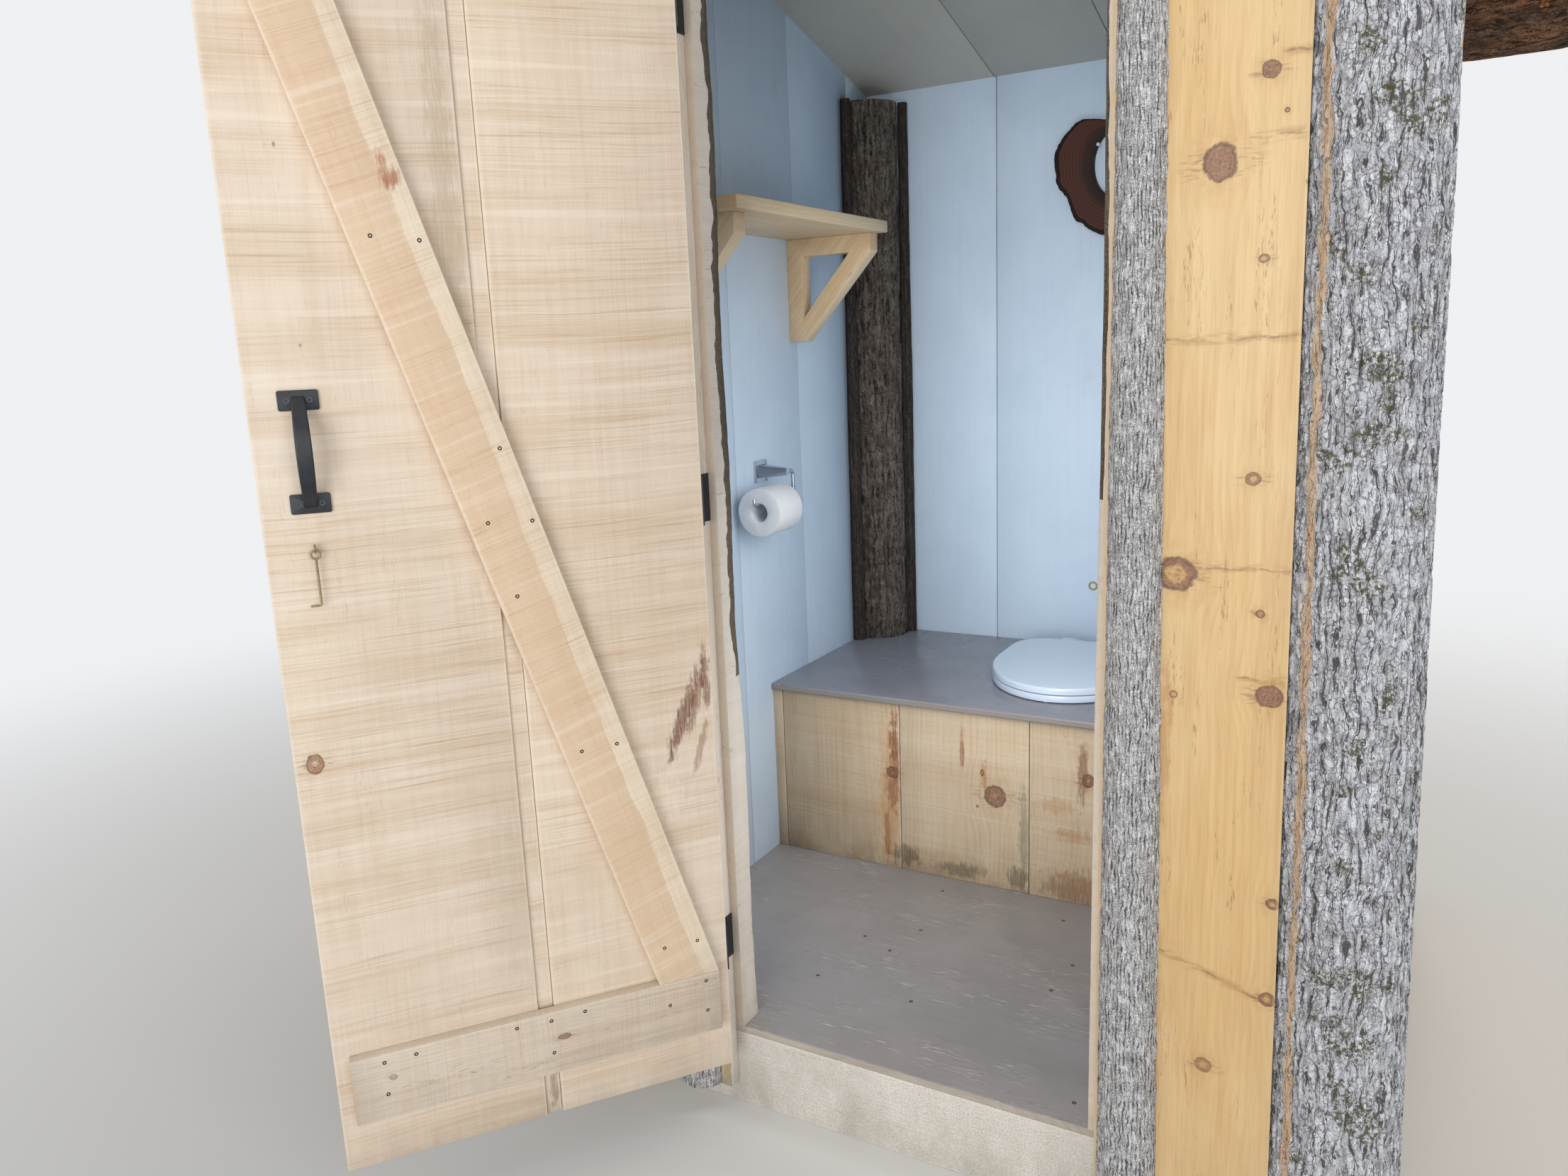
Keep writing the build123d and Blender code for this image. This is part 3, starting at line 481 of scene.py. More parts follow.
def open_material(name: str) -> tuple[bpy.types.Material, Sketch]:
    """An empty material and the sketch of its node tree."""
    made = bpy.data.materials.new(name)
    made.use_nodes = True
    made.node_tree.nodes.clear()
    return made, Sketch(made.node_tree)


def close_material(s: Sketch, colour: Feed, roughness: Feed, height: Feed | None = None,
                   step: float = 0.001, **constants: float) -> None:
    """Ends a material in one Principled shader.

    Args:
        s: The material's sketch.
        colour: Base colour.
        roughness: Roughness.
        height: Height from 0 to 1 for the bump, if there is one.
        step: How high a height of 1 stands, in metres.
        constants: Values set on the shader's own sockets, by name with _ for a space.
    """
    feeds: dict[int | str, Feed] = {"Base Color": colour, "Roughness": roughness}
    for name, value in constants.items():
        feeds[name.replace("_", " ")] = value
    if height is not None:
        feeds["Normal"] = s.add("Bump", {"Height": height, "Distance": step, "Strength": 1.0}).outputs[0]
    shader = s.add("BsdfPrincipled", feeds)
    s.add("OutputMaterial", {0: shader.outputs[0]})


@dataclass(frozen=True)
class Knot:
    """A knot at x and z on an upright face."""

    x: float
    z: float
    radius: float
    tall: float = 1.0
    deep: float = 1.0
    hollow: float = 0.3


@dataclass(frozen=True)
class Whorl:
    """A dark line across a board at a height, from one x to another."""

    z: float
    start: float = -9.0
    end: float = 9.0
    tilt: float = 0.0


@dataclass(frozen=True)
class Stain:
    """A ragged stain of one colour on an upright face."""

    x: float
    z: float
    wide: float
    high: float
    colour: Colour
    strength: float = 0.7
    lean: float = 0.0


@dataclass(frozen=True)
class BoardFinish:
    """Wood as sawn, planed or oiled, with the grain of each board by itself."""

    name: str
    light: Colour
    deep: Colour
    pale: Colour
    ring_width: float = 0.005
    rings: float = 0.55
    tone: float = 0.5
    streaks: float = 0.35
    flecks: float = 0.5
    saw: float = 0.0
    saw_bands: float = 0.0
    scored: Colour = tint(172, 136, 100)
    fleck_colour: Colour = tint(124, 92, 62)
    speckle: float = 0.0
    share: float = 0.0
    heart: Place | None = None
    knots: tuple[Knot, ...] = ()
    whorls: tuple[Whorl, ...] = ()
    stains: tuple[Stain, ...] = ()
    knot_light: Colour = tint(150, 95, 60)
    knot_dark: Colour = tint(70, 42, 30)
    foot: float = 0.35
    dirt: float = 0.5
    ends: float = 0.15
    dirt_colour: Colour = tint(92, 84, 72)
    roughness: float = 0.72
    step: float = 0.0008
    coat: float = 0.0

    def make(self) -> bpy.types.Material:
        """Builds the material."""
        made, s = open_material(self.name)
        plank, number, place = s.attribute("plank"), s.attribute("plank_number"), s.attribute("place")
        edges = s.use(EFFECTS.edges, Plank=plank, Half=s.attribute("plank_half"))
        spots = [s.use(EFFECTS.knot, Place=place, X=k.x, Z=k.z, Radius=k.radius, Tall=k.tall, Hollow=k.hollow)
                 for k in self.knots]
        push: Feed = 0.0
        for spot in spots:
            push = s.plus(push, spot["Push"])
        smears = [s.times(spot["Smear"], k.deep) for spot, k in zip(spots, self.knots) if k.radius > 0.005]
        if self.share:
            spots.append(s.use(EFFECTS.wild_knots, Plank=plank, Number=number, Share=self.share))
        rings = s.use(EFFECTS.growth_rings, Plank=plank, Number=number, Width=self.ring_width, Push=push)
        fibres = s.use(EFFECTS.fibres, Plank=plank, Number=number)

        colour = s.mix(s.times(rings["Late"], self.rings), self.light, self.deep)
        colour = s.mix(s.spread(fibres["Wide"], 0.38, 0.68, 0.0, self.streaks), colour, self.deep)
        colour = s.mix(s.spread(fibres["Cloud"], 0.38, 0.66, 0.0, self.tone), colour, self.pale)
        colour = s.mix(s.times(s.split(number)[2], self.tone * 0.5), colour, self.deep)
        if self.heart is not None:
            x, _, z = s.split(place)
            side = s.times_plus(z, self.heart[1], s.times(x, self.heart[0]))
            wavy = s.noise(s.scaled(place, (20, 20, 9)), 1.0, 3.0, 0.5)
            inside = s.spread(s.times_plus(wavy, 0.022, side), self.heart[2] + 0.0095, self.heart[2] + 0.0125)
            colour = s.mix(s.times(inside, 0.5), colour, self.deep)
        colour = s.mix(s.spread(fibres["Streak"], 0.48, 0.72, 0.0, 0.3 * (1.0 - self.saw)), colour, self.deep)
        colour = s.mix(s.times(fibres["Fleck"], self.flecks * 0.75), colour, self.fleck_colour)
        height: Feed = s.times_plus(fibres["Streak"], 0.4, s.times(rings["Late"], 0.15))
        if self.saw:
            marks = s.use(EFFECTS.saw_marks, Plank=plank, Number=number)
            colour = s.mix(s.times(marks["Band"], self.saw_bands), colour, self.deep)
            colour = s.mix(s.times(marks["Line"], self.saw * 0.7), colour, self.pale)
            colour = s.mix(s.times(marks["Fine"], self.saw * 0.7), colour, self.deep)
            colour = s.mix(s.times(marks["Stroke"], self.saw * 0.75), colour, self.scored)
            height = s.times_plus(s.minus(marks["Line"], marks["Fine"]), 0.35, height)
        for line in self.whorls:
            masks = s.use(EFFECTS.whorl, Place=place, Z=line.z, Tilt=line.tilt, Start=line.start,
                          End=line.end)
            colour = s.mix(s.times(masks["Smudge"], 0.5), colour, self.scored)
            colour = s.mix(s.times(masks["Line"], 0.45), colour, self.knot_dark)
        for stain in self.stains:
            middle = stain.x + stain.lean * stain.z
            mask = s.use(EFFECTS.stain, Place=place, X=middle, Z=stain.z, Wide=stain.wide, High=stain.high,
                         Lean=stain.lean)["Mask"]
            colour = s.mix(s.times(mask, stain.strength), colour, stain.colour)
        if spots:
            depths = [k.deep for k in self.knots] + [1.0] * (len(spots) - len(self.knots))
            masks = {key: s.strongest([s.times(spot[key], deep) for spot, deep in zip(spots, depths)])
                     for key in ("Core", "Body", "Rim", "Rings", "Halo")}
            colour = s.mix(s.times(masks["Halo"], 0.38), colour, self.deep)
            colour = s.mix(s.times(s.strongest(smears), 0.42), colour, self.knot_dark)
            colour = s.mix(s.times(masks["Core"], 0.45), colour, self.deep)
            colour = s.mix(s.times(masks["Body"], 0.85), colour, self.knot_light)
            colour = s.mix(s.times(masks["Rings"], 0.42), colour, self.knot_dark)
            colour = s.mix(s.times(masks["Rim"], 0.55), colour, self.knot_dark)
            height = s.minus(height, s.times(masks["Rim"], 0.5))
        if self.speckle:
            grains = s.noise(place, 420.0, 3.0, 0.7)
            colour = s.mix(s.spread(grains, 0.5, 0.62, 0.0, self.speckle), colour, self.dirt_colour)
            colour = s.mix(s.spread(grains, 0.46, 0.36, 0.0, self.speckle), colour, self.pale)
        colour = s.mix(s.times(edges["Worn"], 0.35), colour, self.pale)
        colour = s.mix(s.times(edges["Near end"], self.ends), colour, self.dirt_colour)
        colour = s.mix(s.times(edges["Cut"], 0.55), colour, self.deep)
        mud = s.use(EFFECTS.splashes, Reach=self.foot)
        colour = s.mix(s.times(mud["Dirt"], self.dirt), colour, self.dirt_colour)
        colour = s.mix(s.times(mud["Specks"], self.dirt * 0.5), colour, self.dirt_colour)
        rough = s.spread(fibres["Wide"], 0.3, 0.7, self.roughness - 0.06, self.roughness + 0.06)
        close_material(s, colour, rough, height, self.step, Coat_Weight=self.coat, Coat_Roughness=0.35,
                       Specular_IOR_Level=0.35)
        return made


@dataclass(frozen=True)
class PaintFinish:
    """Paint on boards: brushed or rolled, with the grain and knots just showing through."""

    name: str
    colour: Colour
    shade: Colour
    roughness: float = 0.42
    grain: float = 0.35
    step: float = 0.0005
    wear: float = 0.0
    bare: Colour = tint(178, 160, 132)
    share: float = 0.0
    foot: float = 0.3
    dirt: float = 0.15
    dirt_colour: Colour = tint(120, 112, 100)
    ridges: float = 0.0

    def make(self) -> bpy.types.Material:
        """Builds the material."""
        made, s = open_material(self.name)
        plank, number = s.attribute("plank"), s.attribute("plank_number")
        fibres = s.use(EFFECTS.fibres, Plank=plank, Number=number)
        edges = s.use(EFFECTS.edges, Plank=plank, Half=s.attribute("plank_half"))
        dust = s.use(EFFECTS.dust, Scale=7.0)
        colour = s.mix(s.times(dust["Cloud"], 0.45), self.colour, self.shade)
        colour = s.mix(s.spread(fibres["Wide"], 0.45, 0.75, 0.0, 0.3), colour, self.shade)
        height: Feed = s.times_plus(fibres["Wide"], self.grain,
                                    s.times(fibres["Streak"], self.grain * 0.5))
        if self.share:
            spots = s.use(EFFECTS.wild_knots, Plank=plank, Number=number, Share=self.share)
            colour = s.mix(s.times(spots["Halo"], 0.14), colour, self.bare)
            height = s.times_plus(spots["Rim"], 0.6, height)
        if self.ridges:
            bent = s.noise(s.scaled(plank, (11, 2.2, 11)), 1.0, 2.0)
            spot = s.scaled(s.moved(plank, s.join(s.times(bent, 0.04), 0.0, 0.0)), (95, 7, 95))
            wave = s.maths("ABSOLUTE", s.minus(s.noise(spot, 1.0, 3.0, 0.6), 0.5))
            area = s.noise(s.scaled(s.moved(plank, (3.0, 5.0, 0.0)), (5.5, 4.0, 5.5)), 1.0, 3.0)
            piece = s.spread(s.noise(s.scaled(plank, (150, 16, 150)), 1.0, 2.0), 0.46, 0.56)
            here = s.times(piece, s.spread(area, 0.48, 0.58, 0.05, 1.0))
            raised_and_highlit = s.times(s.spread(wave, 0.036, 0.006), here)
            height = s.times_plus(raised_and_highlit, self.ridges, height)
            # Painted shadow: a dark line beside each raised ridge.
            beside = s.times(s.spread(wave, 0.034, 0.05), s.spread(wave, 0.085, 0.06))
            colour = s.mix(s.times(s.times(beside, here), 0.3), colour, self.shade)
            # The ridges are painted paler: partly paint worn off them, partly a painted highlight on their
            # relief.
            colour = s.mix(s.times(raised_and_highlit, 0.75), colour, self.bare)
        colour = s.mix(s.times(edges["Worn"], self.wear), colour, self.bare)
        mud = s.use(EFFECTS.splashes, Reach=self.foot)
        colour = s.mix(s.times(mud["Dirt"], self.dirt), colour, self.dirt_colour)
        rough = s.spread(dust["Cloud"], 0.0, 1.0, self.roughness, self.roughness + 0.05)
        close_material(s, colour, rough, height, self.step, Specular_IOR_Level=0.5)
        return made


@dataclass(frozen=True)
class BarkFinish:
    """Bark left on a log: broken cracks, flakes with painted shadow under their edges, lichen, moss and a
    rubbed strip.
    """

    name: str
    ridge: Colour
    plate: Colour
    furrow: Colour
    lichen: Colour = tint(222, 226, 229)
    moss: Colour = tint(80, 78, 50)
    lichen_share: float = 0.5
    moss_share: float = 0.2
    count: float = 48.0
    sway: float = 3.0
    flake: float = 0.008
    cracks: float = 0.9
    short: float = 1.0
    step: float = 0.0016
    torn: Place | None = None
    torn_width: float = 0.006
    torn_colour: Colour = tint(206, 176, 142)
    torn_deep: Colour = tint(190, 138, 92)
    dirt_colour: Colour = tint(96, 88, 74)

    def make(self) -> bpy.types.Material:
        """Builds the material."""
        made, s = open_material(self.name)
        trunk, bark = s.attribute("trunk"), s.split(s.attribute("bark"))
        stretched = s.scaled(trunk, (1.0, 1.0, self.short))
        skin = s.use(EFFECTS.bark, Trunk=stretched, Count=self.count, Sway=self.sway, Flake=self.flake)
        colour = s.mix(skin["Chance"], self.ridge, self.plate)
        colour = s.mix(s.spread(skin["Grit"], 0.42, 0.72, 0.0, 0.6), colour, self.furrow)
        crust = s.times(s.spread(skin["Patch"], 0.6 - self.lichen_share * 0.3, 0.7),
                        s.spread(skin["Grit"], 0.62, 0.4))
        colour = s.mix(s.times(crust, min(1.0, self.lichen_share + 0.3)), colour, self.lichen)
        colour = s.mix(s.spread(bark[0], 0.9, 0.1, 0.0, 0.3), colour, self.furrow)
        # Painted shadow under the flakes' edges.
        colour = s.mix(s.times(skin["Flake edge shade"], self.cracks * 0.55), colour, self.furrow)
        colour = s.mix(s.times(skin["Split"], self.cracks * 0.75), colour, self.furrow)
        colour = s.mix(s.times(skin["Crack"], self.cracks), colour, self.furrow)
        clump = s.noise(s.moved(trunk, (3.0, 1.0, 2.0)), 15.0, 3.0, 0.5)
        crumbs = s.noise(trunk, 190.0, 4.0, 0.7)
        limit = 0.78 - self.moss_share * 0.35
        green = s.times(s.spread(clump, limit, limit + 0.05), s.spread(crumbs, 0.46, 0.56))
        colour = s.mix(s.times(green, 0.9), colour, self.moss)
        if self.torn is not None:
            flat = s.add("VectorMath", {0: s.scaled(trunk, (1, 1, 0))}, operation="NORMALIZE").outputs[0]
            away = s.add("VectorMath", {0: flat, 1: self.torn}, operation="DOT_PRODUCT").outputs[1]
            ragged = s.noise(s.scaled(trunk, (1, 1, 0.3)), 62.0, 5.0, 0.72)
            edge = s.times_plus(s.minus(ragged, 0.5), self.torn_width * 4.5, away)
            bare = s.spread(edge, 1.0 - self.torn_width, 1.0 - self.torn_width * 0.8)
            fibre = s.noise(s.scaled(trunk, (420, 420, 14)), 1.0, 3.0, 0.6)
            middle = s.times(s.spread(edge, 1.0 - self.torn_width * 0.5, 1.0), s.spread(fibre, 0.36, 0.6))
            wood = s.mix(s.spread(skin["Grit"], 0.5, 0.7, 0.0, 0.8), self.torn_colour, self.plate)
            wood = s.mix(s.times(middle, 0.75), wood, self.torn_deep)
            wood = s.mix(s.times(skin["Split"], 0.6), wood, self.furrow)
            colour = s.mix(s.times(bare, 0.85), colour, wood)
        mud = s.use(EFFECTS.splashes, Reach=0.12)
        colour = s.mix(s.times(mud["Dirt"], 0.4), colour, self.dirt_colour)
        low = s.plus(s.times(skin["Crack"], 1.0), s.times(skin["Split"], 0.6))
        low = s.times_plus(skin["Flake edge shade"], 0.35, low)
        high = s.times_plus(skin["Chance"], 0.3, s.times(skin["Grit"], 0.5))
        close_material(s, colour, 0.9, s.minus(high, low), self.step, Specular_IOR_Level=0.2)
        return made


@dataclass(frozen=True)
class CutFinish:
    """The sawn face or end of a log: rings round its heart, checks and weathering."""

    name: str
    light: Colour
    deep: Colour
    ring_width: float = 0.0035
    grey: float = 0.3
    bark_from: float = 0.0
    rot_to: float = 0.0
    greyed: Colour = tint(150, 146, 138)
    rotten: Colour = tint(44, 37, 34)
    rind: Colour = tint(30, 22, 19)

    def make(self) -> bpy.types.Material:
        """Builds the material."""
        made, s = open_material(self.name)
        trunk = s.attribute("trunk")
        x, y, z = s.split(trunk)
        reach = s.maths("SQRT", s.plus(s.times(x, x), s.times(y, y)))
        ripple = s.noise(s.scaled(trunk, (40, 40, 3)), 1.0, 3.0)
        part = s.maths("FRACT", s.over(s.times_plus(ripple, 0.004, reach), self.ring_width))
        fibre = s.noise(s.scaled(trunk, (600, 600, 14)), 1.0, 3.0, 0.65)
        colour = s.mix(s.times(s.spread(part, 0.3, 0.95), 0.5), self.light, self.deep)
        colour = s.mix(s.spread(fibre, 0.42, 0.7, 0.0, 0.55), colour, self.deep)
        cloud = s.noise(trunk, 16.0, 4.0)
        colour = s.mix(s.spread(cloud, 0.4, 0.7, 0.0, self.grey), colour, self.greyed)
        loose = s.times_plus(cloud, 0.012, reach)
        if self.rot_to:
            rot = s.spread(loose, self.rot_to + 0.016, self.rot_to, 0.0, 0.8)
            colour = s.mix(rot, colour, self.rotten)
        if self.bark_from:
            colour = s.mix(s.spread(loose, self.bark_from, self.bark_from + 0.002), colour, self.rind)
        close_material(s, colour, 0.8, s.times_plus(fibre, 0.6, part), 0.0006, Specular_IOR_Level=0.3)
        return made


@dataclass(frozen=True)
class SmoothFinish:
    """Cast, moulded, wire or sheet surfaces with dust and light wear."""

    name: str
    colour: Colour
    dusty: Colour
    roughness: float = 0.4
    metal: float = 0.0
    dust: float = 0.3
    scale: float = 20.0
    step: float = 0.0001
    coat: float = 0.0

    def make(self) -> bpy.types.Material:
        """Builds the material."""
        made, s = open_material(self.name)
        dust = s.use(EFFECTS.dust, Scale=self.scale)
        colour = s.mix(s.times(dust["Cloud"], self.dust), self.colour, self.dusty)
        rough = s.spread(dust["Cloud"], 0.0, 1.0, self.roughness, self.roughness + 0.2 * self.dust + 0.04)
        close_material(s, colour, rough, dust["Grains"], self.step, Metallic=self.metal,
                       Coat_Weight=self.coat)
        return made


@dataclass(frozen=True)
class TissueFinish:
    """Soft embossed paper, with the edges of its layers showing at the roll's ends."""

    name: str = "soft paper"

    def make(self) -> bpy.types.Material:
        """Builds the material."""
        made, s = open_material(self.name)
        point = s.attribute("roll")
        reach = s.split(point)[0]
        layers = s.maths("SINE", s.times(reach, 7000.0))
        crinkle = s.noise(point, 160.0, 4.0, 0.6)
        colour = s.mix(s.spread(layers, -1.0, 1.0, 0.0, 0.12), tint(232, 234, 236), tint(190, 194, 200))
        dimple = s.cells(point, 260.0).outputs[0]
        height = s.times_plus(crinkle, 0.6, s.times(dimple, 0.4))
        close_material(s, colour, 0.92, height, 0.0006, Specular_IOR_Level=0.2, Sheen_Weight=0.15)
        return made


DOOR_BOARD = BoardFinish(
    "rough sawn door pine", tint(225, 211, 194), tint(202, 174, 142), tint(238, 227, 210), rings=0.08,
    tone=0.4, streaks=0.2, saw=0.55, saw_bands=0.36, flecks=0.2, roughness=0.8, foot=0.2, dirt=0.35,
    step=0.0005, knot_light=tint(150, 104, 76), knot_dark=tint(84, 62, 48),
    knots=(Knot(0.597, 0.763, 0.012, 1.2, 1.0, 0.1), Knot(0.551, 1.596, 0.0018, 1.6, 0.8, 0.0),
           Knot(0.521, 1.643, 0.0016, 1.0, 0.8, 0.0), Knot(0.549, 1.343, 0.0022, 1.0, 0.5, 0.0),
           Knot(0.496, 0.229, 0.006, 0.8, 0.5)),
    stains=(Stain(0.052, 0.745, 0.017, 0.09, tint(112, 68, 50), 0.9, 0.42),
            Stain(0.030, 0.77, 0.012, 0.07, tint(128, 84, 62), 0.75, 0.2),
            Stain(0.026, 0.69, 0.008, 0.06, tint(140, 98, 72), 0.6, 0.3),
            Stain(0.012, 0.80, 0.009, 0.07, tint(112, 72, 52), 0.8),
            Stain(0.34, 0.52, 0.045, 0.2, tint(186, 172, 148), 0.22),
            Stain(0.345, 1.45, 0.022, 0.5, tint(180, 162, 136), 0.45),
            Stain(0.305, 0.16, 0.010, 0.05, tint(112, 90, 66), 0.6),
            Stain(0.10, 0.61, 0.05, 0.05, tint(240, 228, 208), 0.5)))
BRACE_BOARD = BoardFinish(
    "rough sawn brace pine", tint(235, 221, 198), tint(206, 170, 134), tint(242, 231, 212), rings=0.08,
    tone=0.3, streaks=0.2, saw=0.42, saw_bands=0.2, flecks=0.15, roughness=0.8, foot=0.1, dirt=0.1,
    step=0.0005, knot_light=tint(170, 112, 84), knot_dark=tint(112, 76, 56),
    heart=(0.9585, -0.2853, -0.0379),
    stains=(Stain(0.424, 1.577, 0.009, 0.017, tint(184, 130, 102), 0.85),
            Stain(0.415, 1.553, 0.0155, 0.018, tint(174, 116, 92), 0.95)))
LEDGE_BOARD = BoardFinish(
    "rough sawn ledge pine", tint(220, 208, 191), tint(176, 153, 129), tint(232, 221, 204), rings=0.3,
    tone=0.4, ring_width=0.004, saw=0.18, saw_bands=0.15, flecks=0.45, roughness=0.78, foot=0.3, dirt=0.3,
    knot_light=tint(132, 100, 78), knot_dark=tint(84, 64, 50),
    knots=(Knot(0.285, 0.256, 0.010, 0.5, 0.9, 0.0), Knot(0.545, 0.262, 0.006, 0.8, 0.5, 0.0)))
YELLOW_BOARD = BoardFinish(
    "oiled yellow pine", tint(220, 190, 138), tint(184, 139, 84), tint(227, 203, 157), ring_width=0.009,
    rings=0.22, tone=0.5, streaks=0.3, flecks=0.75, roughness=0.46, coat=0.12, foot=0.9, dirt=0.22,
    step=0.0003, dirt_colour=tint(178, 130, 84), knot_light=tint(114, 76, 70), knot_dark=tint(74, 48, 48),
    scored=tint(160, 122, 74),
    knots=(Knot(0.497, 1.602, 0.010, 1.0, 1.0, -0.3), Knot(0.446, 1.507, 0.019, 1.15, 1.0, -0.3),
           Knot(0.498, 1.394, 0.0065, 0.8, 0.9), Knot(0.497, 1.134, 0.009, 0.9, 0.9),
           Knot(0.410, 1.010, 0.024, 0.9, 1.0, 0.42), Knot(0.512, 0.966, 0.0055, 1.0, 1.0, 0.4),
           Knot(0.411, 0.850, 0.005, 1.0, 0.8, 0.4),
           Knot(0.527, 0.860, 0.016, 0.9, 1.0, -0.4), Knot(0.543, 0.580, 0.008), Knot(0.542, 0.443, 0.010),
           Knot(0.465, 0.323, 0.011, 1.0, 0.8), Knot(0.516, 1.556, 0.003), Knot(0.542, 1.476, 0.003)),
    whorls=(Whorl(1.619, 0.50), Whorl(1.53, 0.47), Whorl(1.304), Whorl(1.022), Whorl(0.881, 0.48),
            Whorl(0.62, tilt=0.34)),
    stains=(Stain(0.400, 0.78, 0.012, 0.14, tint(178, 130, 86), 0.55),
            Stain(0.395, 0.30, 0.018, 0.3, tint(176, 128, 84), 0.4),
            Stain(0.530, 1.02, 0.02, 0.12, tint(196, 158, 112), 0.4),
            Stain(0.310, 1.10, 0.024, 2.2, tint(206, 184, 156), 0.95)))
WALL_BOARD = BoardFinish(
    "oiled wall pine", tint(222, 188, 132), tint(184, 136, 80), tint(232, 206, 154), ring_width=0.008,
    rings=0.3, tone=0.5, flecks=0.6, share=0.45, roughness=0.5, coat=0.1, foot=0.5, dirt=0.4,
    knot_light=tint(142, 96, 80), knot_dark=tint(100, 68, 56))
FOOT_BOARD = replace(WALL_BOARD, name="oiled wall pine with a grey foot", foot=1.3, dirt=1.0,
                     dirt_colour=tint(138, 134, 120))
PLAIN_PINE = BoardFinish(
    "planed pine", tint(216, 192, 156), tint(180, 144, 104), tint(230, 212, 180), rings=0.35, tone=0.4,
    share=0.3, roughness=0.6, foot=0.2, dirt=0.1)
SHELF_PINE = BoardFinish(
    "shelf pine", tint(226, 202, 164), tint(190, 152, 106), tint(238, 220, 188), ring_width=0.006, rings=0.35,
    tone=0.4, share=0.35, roughness=0.55, coat=0.08, foot=0.1, dirt=0.0)
BENCH_BOARD = BoardFinish(
    "stained bench pine", tint(214, 197, 170), tint(182, 146, 106), tint(220, 205, 180), ring_width=0.009,
    rings=0.3, tone=0.5, streaks=0.2, saw=0.26, saw_bands=0.3, flecks=0.3, roughness=0.7, foot=0.33, dirt=0.8,
    dirt_colour=tint(104, 90, 66), knot_light=tint(118, 68, 48), knot_dark=tint(58, 38, 32),
    knots=(Knot(-0.319, 0.378, 0.015, 0.9, 1.0, 0.0), Knot(-0.081, 0.360, 0.024, 1.0, 0.9, 0.0),
           Knot(-0.110, 0.409, 0.004, 2.0), Knot(-0.121, 0.331, 0.003),
           Knot(0.117, 0.426, 0.012, 1.2, 1.0, 0.0)),
    stains=(Stain(-0.330, 0.30, 0.030, 0.24, tint(196, 148, 96), 0.7),
            Stain(-0.313, 0.44, 0.016, 0.10, tint(136, 78, 42), 0.95),
            Stain(-0.318, 0.34, 0.022, 0.07, tint(140, 84, 50), 0.8),
            Stain(-0.335, 0.23, 0.010, 0.07, tint(152, 100, 62), 0.75),
            Stain(-0.018, 0.27, 0.014, 0.16, tint(116, 118, 94), 0.6),
            Stain(-0.155, 0.45, 0.007, 0.07, tint(150, 98, 60), 0.8),
            Stain(-0.105, 0.40, 0.009, 0.04, tint(176, 118, 76), 0.8),
            Stain(0.106, 0.44, 0.014, 0.09, tint(128, 78, 52), 0.8),
            Stain(0.10, 0.18, 0.09, 0.055, tint(140, 96, 62), 0.75),
            Stain(0.05, 0.36, 0.05, 0.025, tint(186, 144, 98), 0.6),
            Stain(0.09, 0.30, 0.06, 0.02, tint(176, 130, 86), 0.6),
            Stain(-0.29, 0.185, 0.045, 0.028, tint(84, 72, 54), 0.75),
            Stain(-0.16, 0.175, 0.07, 0.022, tint(90, 82, 60), 0.7),
            Stain(-0.03, 0.18, 0.03, 0.035, tint(84, 84, 62), 0.7)))
RIM_BOARD = BoardFinish(
    "weathered rim plank", tint(224, 219, 211), tint(190, 183, 173), tint(234, 230, 225), rings=0.12,
    tone=0.5, streaks=0.08, speckle=0.5, flecks=0.3, roughness=0.9, foot=0.2, dirt=0.5,
    dirt_colour=tint(146, 138, 124), step=0.0012)
JAMB_BOARD = BoardFinish(
    "grey jamb board", tint(236, 225, 211), tint(202, 185, 165), tint(242, 235, 225), rings=0.25, tone=0.5,
    flecks=0.8, roughness=0.82, foot=0.5, dirt=0.3)
LIVE_EDGE = BoardFinish(
    "bark on a board edge", tint(84, 74, 64), tint(50, 43, 37), tint(136, 122, 104), rings=0.1, tone=0.6,
    flecks=0.6, speckle=0.9, dirt_colour=tint(30, 26, 24), roughness=0.9, foot=0.05, dirt=0.0, step=0.0016)
ROOF_BOARD = BoardFinish(
    "rough roof board", tint(206, 182, 148), tint(162, 128, 92), tint(222, 202, 170), rings=0.35, saw=0.3,
    saw_bands=0.25, share=0.35, roughness=0.8, foot=0.05, dirt=0.0)
PLY_EDGE = BoardFinish(
    "plywood edge", tint(172, 162, 148), tint(118, 106, 92), tint(200, 192, 180), ring_width=0.0024,
    rings=0.6, flecks=0.6, roughness=0.8, foot=0.1, dirt=0.0)
# The walls' white paint is tinted blue-grey: painted cool light from the sky through the doorway.
COOL_LIT_WHITE_PAINT = PaintFinish(
    "white board paint with painted cool light", tint(204, 221, 237), tint(191, 209, 227), roughness=0.52, grain=0.3, share=0.3,
    wear=0.03, foot=0.35, dirt=0.2)
# The ceiling's paint is a darker grey-beige than the walls' white: painted shade, as the ceiling lies in
# shadow.
SHADED_CEILING_PAINT = PaintFinish(
    "white ceiling paint in painted shade", tint(196, 195, 186), tint(184, 183, 174), roughness=0.6, grain=0.3, share=0.3)
